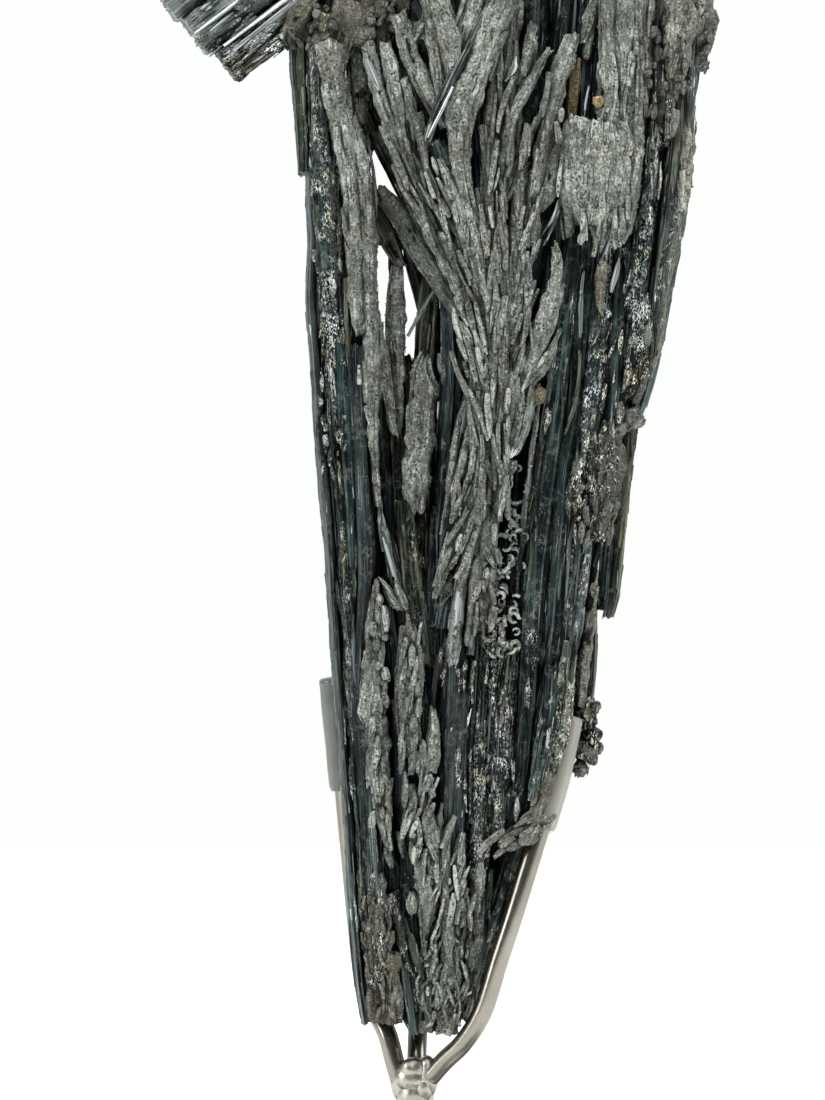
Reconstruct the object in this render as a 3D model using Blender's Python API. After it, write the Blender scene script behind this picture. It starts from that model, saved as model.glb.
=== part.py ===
"""Stibnite crystal cluster held upright in a three-prong steel stand.

One solid of intergrown tapering crystals leans slightly to +X in a stand made of a round foot,
a post, a knot of weld metal and three bent rods that end in soft clear sleeves.
Frame: metres, +Z up, origin at the middle of the foot's underside, front towards -Y.
"""

from typing import NamedTuple

import bmesh
import bpy
import numpy as np
from mathutils import Vector

MM = 0.001

# Stand, in mm.
BASE_RADIUS = 80.0
BASE_THICKNESS = 10.0
BASE_CHAMFER = 1.2
POST_RADIUS = 5.7
POST_TOP = 58.5
KNOT_BOTTOM = 58.9
KNOT_TOP = 71.0
KNOT_RADIUS = 7.2
ROD_RADIUS = 3.0
SLEEVE_WALL = 1.3
SLEEVE_LENGTH = 33.0
SLEEVE_CAP = 1.2
GAP = 0.3

# Rod routes through the middle of each rod, from the weld upwards, in mm.
LEFT_ROUTE = (
    (-4.3, -0.4, 62.0), (-6.3, 0.4, 69.0), (-8.4, 2.0, 76.5), (-12.2, 6.5, 83.5),
    (-15.6, 10.5, 92.0), (-17.6, 12.0, 108.0), (-19.6, 12.4, 129.0), (-21.8, 12.2, 153.0),
    (-24.6, 11.2, 182.0),
)
RIGHT_ROUTE = (
    (4.2, -3.0, 64.0), (9.0, -5.2, 69.8), (14.6, -8.2, 75.8), (20.2, -10.6, 85.6),
    (24.8, -11.4, 100.5), (28.7, -11.4, 112.4), (32.4, -10.8, 124.2), (36.5, -9.6, 137.5),
    (41.4, -8.0, 153.6), (45.4, -6.6, 171.4),
)
BACK_ROUTE = (
    (0.6, 4.8, 63.0), (0.6, 6.2, 70.0), (1.0, 11.0, 78.0), (2.0, 18.0, 90.0),
    (3.4, 22.4, 106.0), (5.2, 24.6, 128.0), (7.2, 25.2, 152.0), (9.4, 25.0, 176.0),
)

COLOURS = {
    "stibnite": ((0.055, 0.065, 0.075), 0.38, 0.65),
    "stainless_steel": ((0.55, 0.53, 0.50), 0.24, 1.0),
    "clear_vinyl": ((0.78, 0.79, 0.77), 0.25, 0.0),
}


class Crystal(NamedTuple):
    """One crystal: its ends on its long axis, its size across and its shape, in mm."""

    foot: tuple
    head: tuple
    width: float
    depth: float
    sides: int = 6
    roll: float = 0.0
    narrow: float = 0.82
    tip: float = 0.35


# Left arm: the tall spar, the one behind it and the coated column on its front.
LEFT_ARM = (
    Crystal((-9.6, 0.5, 79.0), (-32.2, -1.0, 420.0), 16.4, 23.0, 8, 8.0, 0.95, 0.5),
    Crystal((-6.0, 7.0, 88.0), (-26.5, 11.0, 398.0), 13.0, 15.0, 8, 20.0, 0.86, 0.4),
    Crystal((-5.0, -11.0, 204.0), (-27.0, -15.0, 404.0), 8.4, 9.0, 6, 15.0, 1.25, 0.7),
    Crystal((-6.5, 13.0, 100.0), (-16.5, 19.0, 286.0), 9.0, 11.0, 6, 25.0, 0.8, 0.3),
    Crystal((-24.0, 4.0, 330.0), (-34.5, 9.0, 442.0), 9.0, 10.0, 6, 5.0, 0.7, 0.3),
)

# Short thick crystal that lies across the top of the left arm, and the crust that binds it.
CROSS_STUB = (
    Crystal((-64.0, -4.0, 372.0), (-4.0, -2.0, 427.0), 34.0, 27.0, 8, 10.0, 0.9, 0.6),
    Crystal((-22.0, -7.0, 367.0), (-18.0, -5.0, 426.0), 27.0, 24.0, 8, 30.0, 0.95, 0.6),
    Crystal((-15.0, 9.0, 344.0), (-10.0, 11.0, 424.0), 12.0, 10.0, 6, 12.0, 0.9, 0.4),
    Crystal((6.0, 9.0, 346.0), (-3.0, 11.0, 414.0), 20.0, 10.0, 6, 4.0, 0.85, 0.4),
)

# Fan of coated blades that spreads up from the waist, and the trunk below it.
FAN = (
    Crystal((8.0, -13.0, 198.0), (29.0, -13.0, 292.0), 15.0, 13.0, 8, 12.0, 1.0, 0.6),
    Crystal((24.0, -13.0, 260.0), (5.5, -25.0, 334.0), 11.0, 8.0, 6, 8.0, 0.95, 0.7),
    Crystal((15.0, -14.0, 318.0), (38.0, -27.0, 414.0), 9.0, 8.0, 6, 20.0, 0.9, 0.5),
    Crystal((16.0, -10.0, 310.0), (-8.5, -19.0, 394.0), 6.0, 7.0, 6, 10.0, 0.85, 0.5),
    Crystal((17.0, -8.0, 312.0), (0.0, -17.0, 404.0), 6.0, 7.0, 6, 0.0, 0.85, 0.4),
    Crystal((20.0, -8.0, 306.0), (8.0, -15.0, 424.0), 8.0, 8.0, 6, 18.0, 0.8, 0.3),
    Crystal((22.0, -9.0, 276.0), (-17.5, -14.0, 378.0), 6.5, 7.0, 6, 15.0, 0.9, 0.5),
    Crystal((18.0, 2.0, 290.0), (-16.0, 4.0, 354.0), 8.0, 9.0, 6, 12.0, 0.85, 0.5),
    Crystal((16.0, 6.0, 284.0), (-12.5, 6.0, 335.0), 7.5, 8.0, 6, 10.0, 0.85, 0.5),
    Crystal((9.5, 6.0, 266.0), (-2.5, 7.0, 322.0), 8.0, 8.0, 6, 14.0, 0.85, 0.5),
    Crystal((26.0, -6.0, 268.0), (20.0, -14.0, 436.0), 9.0, 9.0, 6, 12.0, 0.75, 0.3),
    Crystal((28.0, -10.0, 264.0), (34.0, -18.0, 398.0), 8.0, 8.0, 6, 5.0, 0.8, 0.4),
    Crystal((30.0, -10.0, 264.0), (49.0, -18.0, 382.0), 7.5, 8.0, 6, 12.0, 0.9, 0.6),
    Crystal((28.0, -11.0, 258.0), (42.0, -22.0, 317.0), 6.5, 7.0, 6, 8.0, 0.9, 0.6),
    Crystal((42.0, 0.0, 318.0), (61.0, -2.0, 416.0), 9.0, 11.0, 6, 14.0, 0.8, 0.4),
)

# Middle of the cluster: the core spars and the fingers between them and the left arm.
MIDDLE = (
    Crystal((2.0, 2.0, 80.0), (28.0, 6.0, 408.0), 17.0, 18.0, 8, 14.0, 0.9, 0.4),
    Crystal((-1.5, 2.0, 90.0), (-6.6, 1.0, 321.0), 5.4, 7.0, 6, 0.0, 0.9, 0.8),
    Crystal((0.5, -6.0, 190.0), (-5.6, -4.5, 308.0), 5.6, 6.0, 6, 10.0, 0.9, 0.6),
    Crystal((2.0, -9.0, 180.0), (4.2, -8.5, 281.0), 8.6, 7.5, 6, 22.0, 0.95, 0.6),
    Crystal((-3.0, -9.0, 92.0), (-11.5, -11.0, 209.0), 10.0, 9.0, 6, 10.0, 0.9, 0.6),
    Crystal((2.0, -10.0, 108.0), (-2.6, -11.0, 205.0), 9.0, 8.0, 6, 25.0, 0.95, 0.6),
    Crystal((5.0, -1.5, 76.0), (12.0, -5.0, 150.0), 19.0, 22.0, 8, 10.0, 1.0, 0.6),
    Crystal((8.0, -4.0, 84.0), (26.0, -6.0, 236.0), 18.0, 23.0, 8, 6.0, 0.95, 0.6),
    Crystal((-1.0, 0.0, 84.0), (-3.0, 1.0, 262.0), 12.0, 15.0, 6, 12.0, 0.9, 0.5),
    Crystal((12.0, 0.0, 150.0), (10.0, 2.0, 284.0), 11.0, 14.0, 6, 12.0, 0.9, 0.5),
)

# Right arm: wide dark spars stepping outwards, and the coated columns above them.
RIGHT_ARM = (
    Crystal((16.5, -1.0, 92.0), (62.0, -3.0, 398.0), 17.0, 24.0, 8, 10.0, 1.4, 0.5),
    Crystal((35.0, 1.0, 148.0), (76.0, -1.0, 396.0), 19.0, 25.0, 8, 16.0, 1.05, 0.5),
    Crystal((61.0, -2.0, 262.0), (83.0, -4.0, 412.0), 14.5, 20.0, 8, 8.0, 1.0, 0.5),
    Crystal((56.0, 8.0, 201.0), (69.0, 8.0, 336.0), 8.6, 12.0, 6, 14.0, 1.0, 0.6),
    Crystal((12.5, -3.0, 78.0), (32.0, -4.0, 152.0), 15.0, 18.0, 8, 4.0, 1.2, 0.7),
    Crystal((51.0, -12.0, 310.0), (63.0, -17.0, 421.0), 20.0, 14.0, 8, 20.0, 0.9, 0.5),
    Crystal((66.0, -9.0, 316.0), (78.0, -11.0, 418.0), 15.0, 16.0, 8, 12.0, 0.9, 0.5),
    Crystal((40.0, 5.0, 167.0), (57.0, 6.0, 166.0), 17.0, 16.0, 8, 12.0, 0.9, 0.7),
)

# Back, and the tips that rise highest.
BACK = (
    Crystal((8.0, 10.0, 88.0), (40.0, 22.0, 384.0), 15.0, 14.0, 8, 14.0, 0.9, 0.4),
    Crystal((16.0, 9.0, 98.0), (66.0, 18.0, 352.0), 13.0, 14.0, 8, 8.0, 1.05, 0.4),
    Crystal((2.0, 11.0, 98.0), (11.0, 19.0, 272.0), 12.0, 12.0, 6, 22.0, 0.8, 0.3),
    Crystal((32.0, 12.0, 170.0), (80.0, 12.0, 376.0), 13.0, 13.0, 6, 12.0, 0.9, 0.4),
    Crystal((30.0, 14.0, 296.0), (54.0, 26.0, 446.0), 10.0, 10.0, 6, 12.0, 0.75, 0.3),
    Crystal((24.0, 4.0, 262.0), (31.0, 2.0, 452.0), 12.0, 12.0, 6, 18.0, 0.7, 0.25),
    Crystal((38.0, 2.0, 262.0), (50.0, -4.0, 459.0), 13.0, 14.0, 8, 8.0, 0.7, 0.25),
    Crystal((58.0, 4.0, 300.0), (72.0, 6.0, 441.0), 13.0, 13.0, 6, 12.0, 0.75, 0.3),
    Crystal((71.0, 0.0, 300.0), (87.0, 4.0, 428.0), 8.5, 9.0, 6, 12.0, 0.75, 0.3),
    Crystal((22.0, 10.0, 300.0), (10.0, 14.0, 430.0), 11.0, 10.0, 6, 16.0, 0.8, 0.3),
    Crystal((8.0, 2.0, 330.0), (3.0, 4.0, 436.0), 8.0, 9.0, 6, 0.0, 0.75, 0.3),
)

CLUSTER = LEFT_ARM + CROSS_STUB + FAN + MIDDLE + RIGHT_ARM + BACK


def clear_scene() -> None:
    """Remove every object that the file starts with."""
    for obj in list(bpy.data.objects):
        bpy.data.objects.remove(obj, do_unlink=True)


def material(name: str) -> bpy.types.Material:
    """Return the Principled material of this name, made on first use."""
    found = bpy.data.materials.get(name)
    if found:
        return found
    colour, roughness, metallic = COLOURS[name]
    made = bpy.data.materials.new(name)
    made.use_nodes = True
    shader = made.node_tree.nodes["Principled BSDF"]
    shader.inputs["Base Color"].default_value = (*colour, 1.0)
    shader.inputs["Roughness"].default_value = roughness
    shader.inputs["Metallic"].default_value = metallic
    return made


def add_object(name: str, bm: bmesh.types.BMesh, finish: str) -> bpy.types.Object:
    """Turn a mesh given in millimetres into a named object in metres."""
    bmesh.ops.scale(bm, vec=(MM, MM, MM), verts=bm.verts)
    bmesh.ops.recalc_face_normals(bm, faces=bm.faces)
    mesh = bpy.data.meshes.new(name)
    bm.to_mesh(mesh)
    bm.free()
    mesh.materials.append(material(finish))
    obj = bpy.data.objects.new(name, mesh)
    bpy.context.scene.collection.objects.link(obj)
    return obj


def shade_round(obj: bpy.types.Object, degrees: float = 40.0) -> None:
    """Shade a round piece smooth, with its corners kept sharp."""
    obj.data.shade_smooth()
    obj.data.set_sharp_from_angle(angle=np.radians(degrees))


def across(axis: Vector, roll: float) -> tuple:
    """Return the width and depth directions of a crystal whose long axis is given."""
    side = Vector((0.0, 1.0, 0.0)).cross(axis).normalized()
    front = axis.cross(side).normalized()
    turn = np.radians(roll)
    wide = side * np.cos(turn) + front * np.sin(turn)
    deep = front * np.cos(turn) - side * np.sin(turn)
    return wide, deep


def add_stack(bm: bmesh.types.BMesh, rings: list) -> None:
    """Skin a list of equal point rings into one closed shell with flat ends."""
    made = [[bm.verts.new(point) for point in ring] for ring in rings]
    for low, high in zip(made, made[1:]):
        count = len(low)
        for i in range(count):
            j = (i + 1) % count
            bm.faces.new((low[i], low[j], high[j], high[i]))
    bm.faces.new(tuple(reversed(made[0])))
    bm.faces.new(tuple(made[-1]))


def crystal_mesh(crystal: Crystal) -> bmesh.types.BMesh:
    """Make one tapering crystal with a bevelled point."""
    foot, head = Vector(crystal.foot), Vector(crystal.head)
    axis = head - foot
    length = axis.length
    axis.normalize()
    wide, deep = across(axis, crystal.roll)
    point_length = min(0.9 * crystal.width, 0.2 * length)
    stations = (
        (0.0, 1.0),
        (length - point_length, crystal.narrow),
        (length, crystal.narrow * crystal.tip),
    )
    rings = []
    for along, scale in stations:
        ring = []
        for i in range(crystal.sides):
            angle = 2.0 * np.pi * (i + 0.5) / crystal.sides
            reach = 1.0 / np.cos(np.pi / crystal.sides)
            across_wide = 0.5 * crystal.width * scale * reach * np.cos(angle)
            across_deep = 0.5 * crystal.depth * scale * reach * np.sin(angle)
            ring.append(foot + axis * along + wide * across_wide + deep * across_deep)
        rings.append(ring)
    bm = bmesh.new()
    add_stack(bm, rings)
    return bm


def smooth_route(route: tuple, steps: int = 3) -> list:
    """Return points on a Catmull-Rom curve through the route's points."""
    points = [Vector(p) for p in route]
    ends = [2 * points[0] - points[1], *points, 2 * points[-1] - points[-2]]
    curve = []
    for a, b, c, d in zip(ends, ends[1:], ends[2:], ends[3:]):
        for step in range(steps):
            t = step / steps
            curve.append(
                0.5 * (2 * b + (c - a) * t + (2 * a - 5 * b + 4 * c - d) * t**2
                       + (3 * b - a - 3 * c + d) * t**3)
            )
    curve.append(points[-1])
    return curve


def rings_along(curve: list, radius: float, sides: int) -> list:
    """Return rings of one radius square to the curve, all started on one side."""
    rings = []
    for i, centre in enumerate(curve):
        ahead = curve[min(i + 1, len(curve) - 1)] - curve[max(i - 1, 0)]
        ahead.normalize()
        side = Vector((0.0, 1.0, 0.0)).cross(ahead).normalized()
        front = ahead.cross(side)
        rings.append([
            centre + radius * (side * np.cos(2 * np.pi * k / sides)
                               + front * np.sin(2 * np.pi * k / sides))
            for k in range(sides)
        ])
    return rings


def tube(curve: list, radius: float, sides: int = 14) -> bmesh.types.BMesh:
    """Make a solid rod along a curve."""
    bm = bmesh.new()
    add_stack(bm, rings_along(curve, radius, sides))
    return bm


def cut_curve(curve: list, length: float) -> list:
    """Return the last stretch of a curve, of the length asked for."""
    kept = [curve[-1]]
    left = length
    for low, high in zip(reversed(curve[:-1]), reversed(curve[1:])):
        step = (high - low).length
        if step >= left:
            kept.append(high.lerp(low, left / step))
            break
        kept.append(low)
        left -= step
    return list(reversed(kept))


def past_end(curve: list, extra: float) -> list:
    """Return a curve run on straight past its last point."""
    ahead = (curve[-1] - curve[-2]).normalized()
    return [*curve, curve[-1] + ahead * extra]


def sleeve_mesh(curve: list) -> bmesh.types.BMesh:
    """Make a sleeve over the end of a rod, open below and capped above."""
    stretch = cut_curve(curve, SLEEVE_LENGTH)
    inner = rings_along(past_end(stretch, GAP), ROD_RADIUS + GAP, 14)
    outer = rings_along(past_end(stretch, GAP + SLEEVE_CAP), ROD_RADIUS + GAP + SLEEVE_WALL, 14)
    bm = bmesh.new()
    add_stack(bm, list(reversed(inner)) + outer)
    return bm


def combine(obj: bpy.types.Object, operation: str, tools: list) -> None:
    """Join the tools to an object, or cut them from it, and drop the tools."""
    group = bpy.data.collections.new("tools")
    for tool in tools:
        group.objects.link(tool)
    modifier = obj.modifiers.new("combine", "BOOLEAN")
    modifier.operation = operation
    modifier.operand_type = "COLLECTION"
    modifier.collection = group
    modifier.solver = "EXACT"
    modifier.use_self = False
    bpy.context.view_layer.update()
    depsgraph = bpy.context.evaluated_depsgraph_get()
    result = bpy.data.meshes.new_from_object(obj.evaluated_get(depsgraph))
    obj.modifiers.remove(modifier)
    obj.data = result
    for tool in tools:
        bpy.data.objects.remove(tool, do_unlink=True)
    bpy.data.collections.remove(group)


def keep_outer_shell(obj: bpy.types.Object) -> None:
    """Drop every shell but the largest, so that no closed pocket is left inside."""
    bm = bmesh.new()
    bm.from_mesh(obj.data)
    left = set(bm.verts)
    shells = []
    while left:
        todo = [left.pop()]
        shell = list(todo)
        while todo:
            for edge in todo.pop().link_edges:
                for vert in edge.verts:
                    if vert in left:
                        left.remove(vert)
                        shell.append(vert)
                        todo.append(vert)
        shells.append(shell)
    shells.sort(key=len)
    for shell in shells[:-1]:
        bmesh.ops.delete(bm, geom=shell, context="VERTS")
    bm.to_mesh(obj.data)
    bm.free()


def tidy_surface(obj: bpy.types.Object) -> None:
    """Merge points closer than a hair and split the faces into triangles."""
    bm = bmesh.new()
    bm.from_mesh(obj.data)
    bmesh.ops.dissolve_degenerate(bm, dist=0.00002, edges=bm.edges)
    bmesh.ops.triangulate(bm, faces=bm.faces)
    bm.to_mesh(obj.data)
    bm.free()


def build_cluster(routes: dict) -> bpy.types.Object:
    """Grow the cluster as one solid, with room left for the rods and sleeves."""
    pieces = [
        add_object(f"crystal_{i:02d}", crystal_mesh(crystal), "stibnite")
        for i, crystal in enumerate(CLUSTER)
    ]
    cluster = pieces[0]
    cluster.name = "crystal_cluster"
    combine(cluster, "UNION", pieces[1:])
    keep_outer_shell(cluster)
    cutters = []
    for name, curve in routes.items():
        rod = tube(past_end(curve, GAP), ROD_RADIUS + GAP, 10)
        cutters.append(add_object(f"{name}_rod_room", rod, "stibnite"))
        stretch = past_end(cut_curve(curve, SLEEVE_LENGTH + 2.0), 2 * GAP + SLEEVE_CAP)
        room = tube(stretch, ROD_RADIUS + SLEEVE_WALL + 2.2 * GAP, 10)
        cutters.append(add_object(f"{name}_sleeve_room", room, "stibnite"))
    for cutter in cutters:
        combine(cluster, "DIFFERENCE", [cutter])
    keep_outer_shell(cluster)
    tidy_surface(cluster)
    return cluster


def build_prongs(routes: dict) -> None:
    """Make the three bent rods and the sleeves on their ends."""
    for name, curve in routes.items():
        shade_round(add_object(f"{name}_prong", tube(curve, ROD_RADIUS), "stainless_steel"))
        shade_round(add_object(f"{name}_sleeve", sleeve_mesh(curve), "clear_vinyl"))


def turned(profile: list, sides: int) -> bmesh.types.BMesh:
    """Spin radius and height pairs about Z into a closed solid."""
    bm = bmesh.new()
    rings = []
    for radius, height in profile:
        rings.append([
            Vector((radius * np.cos(2 * np.pi * k / sides), radius * np.sin(2 * np.pi * k / sides),
                    height))
            for k in range(sides)
        ])
    add_stack(bm, rings)
    return bm


def build_knot(routes: dict) -> None:
    """Make the lump of weld metal, with room left for the rods that run into it."""
    middle = 0.5 * (KNOT_BOTTOM + KNOT_TOP)
    half = 0.5 * (KNOT_TOP - KNOT_BOTTOM)
    profile = []
    for step in range(9):
        angle = np.radians(-72.0 + 18.0 * step)
        profile.append((KNOT_RADIUS * np.cos(angle), middle + half * np.sin(angle)))
    knot = add_object("weld_knot", turned(profile, 18), "stainless_steel")
    for name, curve in routes.items():
        below = curve[0] - (curve[1] - curve[0]).normalized() * 3.0 * GAP
        room = tube([below, *curve[:12]], ROD_RADIUS + GAP, 14)
        combine(knot, "DIFFERENCE", [add_object(f"{name}_room", room, "stainless_steel")])
    keep_outer_shell(knot)
    tidy_surface(knot)
    shade_round(knot, 60.0)


def build_post() -> None:
    """Make the round post between the foot and the weld."""
    profile = [(POST_RADIUS, BASE_THICKNESS + GAP), (POST_RADIUS, POST_TOP)]
    shade_round(add_object("post", turned(profile, 32), "stainless_steel"))


def build_base() -> None:
    """Make the round foot with a chamfered upper edge."""
    profile = [
        (BASE_RADIUS, 0.0),
        (BASE_RADIUS, BASE_THICKNESS - BASE_CHAMFER),
        (BASE_RADIUS - BASE_CHAMFER, BASE_THICKNESS),
    ]
    shade_round(add_object("base_plate", turned(profile, 72), "stainless_steel"))


def main() -> None:
    """Build the whole part."""
    clear_scene()
    routes = {
        "left": smooth_route(LEFT_ROUTE),
        "right": smooth_route(RIGHT_ROUTE),
        "back": smooth_route(BACK_ROUTE),
    }
    build_cluster(routes)
    build_prongs(routes)
    build_knot(routes)
    build_post()
    build_base()


main()
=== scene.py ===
"""Looks of the stibnite crystal cluster on its three-prong stand.

Every size in a layout table is in millimetres, as seen square from the front on the plane y = 0;
`seen` carries a point back along the line of sight to its real depth.
"""

import logging
from dataclasses import dataclass, field, replace
from enum import Enum
from functools import partial

import bmesh
import bpy
import numpy as np
from mathutils import Euler, Matrix, Vector
from mathutils.bvhtree import BVHTree


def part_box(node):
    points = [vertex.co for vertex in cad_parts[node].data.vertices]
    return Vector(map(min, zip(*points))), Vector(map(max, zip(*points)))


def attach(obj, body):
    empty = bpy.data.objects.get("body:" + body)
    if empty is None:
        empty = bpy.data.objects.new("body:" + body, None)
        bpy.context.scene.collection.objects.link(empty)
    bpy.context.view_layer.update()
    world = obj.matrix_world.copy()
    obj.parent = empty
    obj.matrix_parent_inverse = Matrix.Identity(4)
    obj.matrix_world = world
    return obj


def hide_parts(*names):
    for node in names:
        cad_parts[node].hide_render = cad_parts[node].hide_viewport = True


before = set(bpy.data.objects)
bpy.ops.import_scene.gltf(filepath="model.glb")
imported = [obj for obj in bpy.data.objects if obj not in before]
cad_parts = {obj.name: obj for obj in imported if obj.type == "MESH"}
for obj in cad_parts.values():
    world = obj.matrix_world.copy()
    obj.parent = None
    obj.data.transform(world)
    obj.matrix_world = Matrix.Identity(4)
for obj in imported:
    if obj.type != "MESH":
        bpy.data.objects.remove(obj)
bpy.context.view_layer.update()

LOG = logging.getLogger("stibnite")
ROOT = "root"
MM = 0.001

# The eye looks square at the front: where it stands, how far off, how much it sees from top to
# bottom on the plane y = 0, and how tall the camera's sensor is, all in mm.
EYE_X = -0.75
EYE_Z = 222.0
EYE_DISTANCE = 900.0
VIEW_HEIGHT = 330.0
SENSOR = 36.0


# ---------------------------------------------------------------------------------------------
# Number work
# ---------------------------------------------------------------------------------------------


def seen(x: np.ndarray, z: np.ndarray, y: np.ndarray) -> np.ndarray:
    """Place points that are seen at x, z on the front plane at their real depth.

    Args:
        x: Across, in mm, on the plane y = 0.
        z: Up, in mm, on the plane y = 0.
        y: Depth of the point, in mm.

    Returns:
        Points in mm, one row each.
    """
    scale = (EYE_DISTANCE + y) / EYE_DISTANCE
    return np.stack([EYE_X + (x - EYE_X) * scale, y, EYE_Z + (z - EYE_Z) * scale], axis=-1)


def front_of(points: np.ndarray) -> tuple[np.ndarray, np.ndarray]:
    """Return where points in mm are seen on the front plane, across and up.

    Args:
        points: Points in mm, any shape that ends in three.

    Returns:
        Across and up in mm, on the plane y = 0.
    """
    scale = EYE_DISTANCE / (EYE_DISTANCE + points[..., 1])
    across = EYE_X + (points[..., 0] - EYE_X) * scale
    up = EYE_Z + (points[..., 2] - EYE_Z) * scale
    return across, up


def lattice(ix: np.ndarray, iy: np.ndarray, iz: np.ndarray, seed: int) -> np.ndarray:
    """Hash whole-number lattice points to numbers from 0 to 1.

    Args:
        ix: Whole numbers across.
        iy: Whole numbers deep.
        iz: Whole numbers up.
        seed: Picks one pattern of many.

    Returns:
        One number from 0 to 1 for each point.
    """
    mask = 0xFFFFFFFF
    mixed = (ix * 374761393 + iy * 668265263 + iz * 1103515245 + seed * 362437) & mask
    mixed = ((mixed ^ (mixed >> 13)) * 1274126177) & mask
    return ((mixed ^ (mixed >> 16)) & mask) / 4294967296.0


def noise(points: np.ndarray, seed: int = 0) -> np.ndarray:
    """Return smooth value noise from -1 to 1 at points given in noise cells.

    Args:
        points: Places in noise cells, any shape that ends in three.
        seed: Picks one pattern of many.

    Returns:
        One number from -1 to 1 for each point.
    """
    cell = np.floor(points).astype(np.int64)
    part = points - cell
    part = part * part * (3.0 - 2.0 * part)
    total = np.zeros(points.shape[:-1])
    for dx in (0, 1):
        wx = part[..., 0] if dx else 1.0 - part[..., 0]
        for dy in (0, 1):
            wy = part[..., 1] if dy else 1.0 - part[..., 1]
            for dz in (0, 1):
                wz = part[..., 2] if dz else 1.0 - part[..., 2]
                corner = lattice(cell[..., 0] + dx, cell[..., 1] + dy, cell[..., 2] + dz, seed)
                total += wx * wy * wz * corner
    return 2.0 * total - 1.0


def fractal(points: np.ndarray, octaves: int, seed: int = 0) -> np.ndarray:
    """Return layered noise from about -1 to 1.

    Args:
        points: Places in cells of the coarsest layer.
        octaves: How many layers, each half the size of the last.
        seed: Picks one pattern of many.

    Returns:
        One number from about -1 to 1 for each point.
    """
    total = np.zeros(points.shape[:-1])
    weight, scale, used = 1.0, 1.0, 0.0
    for octave in range(octaves):
        total += weight * noise(points * scale, seed + 17 * octave)
        used += weight
        weight *= 0.5
        scale *= 2.03
    return total / used


def ramp(value: np.ndarray, low: float, high: float) -> np.ndarray:
    """Rise smoothly from 0 at low to 1 at high."""
    part = np.clip((value - low) / (high - low), 0.0, 1.0)
    return part * part * (3.0 - 2.0 * part)


def unit(vectors: np.ndarray) -> np.ndarray:
    """Return vectors at length one."""
    return vectors / np.maximum(np.linalg.norm(vectors, axis=-1, keepdims=True), 1e-9)


def run_along(points: np.ndarray) -> np.ndarray:
    """Return how far along a line of points each one is."""
    return np.concatenate([[0.0], np.cumsum(np.linalg.norm(np.diff(points, axis=0), axis=1))])


def ring_faces(rings: int, columns: int) -> np.ndarray:
    """Return the four-cornered faces between neighbouring rings of points.

    Args:
        rings: How many rings.
        columns: Points to a ring.

    Returns:
        Four point numbers to a face, counted ring by ring.
    """
    index = np.arange(rings * columns).reshape(rings, columns)
    right = np.roll(index, -1, axis=1)
    return np.stack([index[:-1], right[:-1], right[1:], index[1:]], axis=-1).reshape(-1, 4)


def smooth_line(stations: np.ndarray, count: int) -> np.ndarray:
    """Resample rows of numbers evenly along the first three, on a Catmull-Rom curve.

    Args:
        stations: Rows of numbers whose first three are a place.
        count: How many rows to return.

    Returns:
        Rows at even distances, each as long as a station.
    """
    if len(stations) == 2:
        share = np.linspace(0.0, 1.0, count)[:, None]
        return stations[0] * (1.0 - share) + stations[1] * share
    padded = np.vstack([2 * stations[0] - stations[1], stations, 2 * stations[-1] - stations[-2]])
    fine = []
    for i in range(len(stations) - 1):
        a, b, c, d = padded[i:i + 4]
        for t in np.arange(0.0, 1.0, 0.1):
            fine.append(0.5 * (2 * b + (c - a) * t + (2 * a - 5 * b + 4 * c - d) * t**2
                               + (3 * b - a - 3 * c + d) * t**3))
    fine.append(stations[-1])
    fine = np.array(fine)
    run = run_along(fine[:, :3])
    at = np.linspace(0.0, run[-1], count)
    return np.stack([np.interp(at, run, column) for column in fine.T], axis=1)


# ---------------------------------------------------------------------------------------------
# Meshes
# ---------------------------------------------------------------------------------------------

# Points this close are one point and edges this short are dropped, both in metres; edges that
# turn by more degrees than this are sharp.
TUBE_ENDS_MERGE = 0.000004
SLIVER = 0.000002
SHARP_FROM = 32.0


class Mark(Enum):
    """Stored at every point: five kinds of finish, painted sheen, how plain it is and how open."""

    COAT = 0
    ETCH = 1
    STAIN = 2
    TONE = 3
    # Painted sheen: pale colour standing in for glints.
    SHINE = 4
    BLUE = 5
    PLAIN = 6
    OPEN = 7


MARKS = tuple(mark.name.lower() for mark in Mark)


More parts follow.
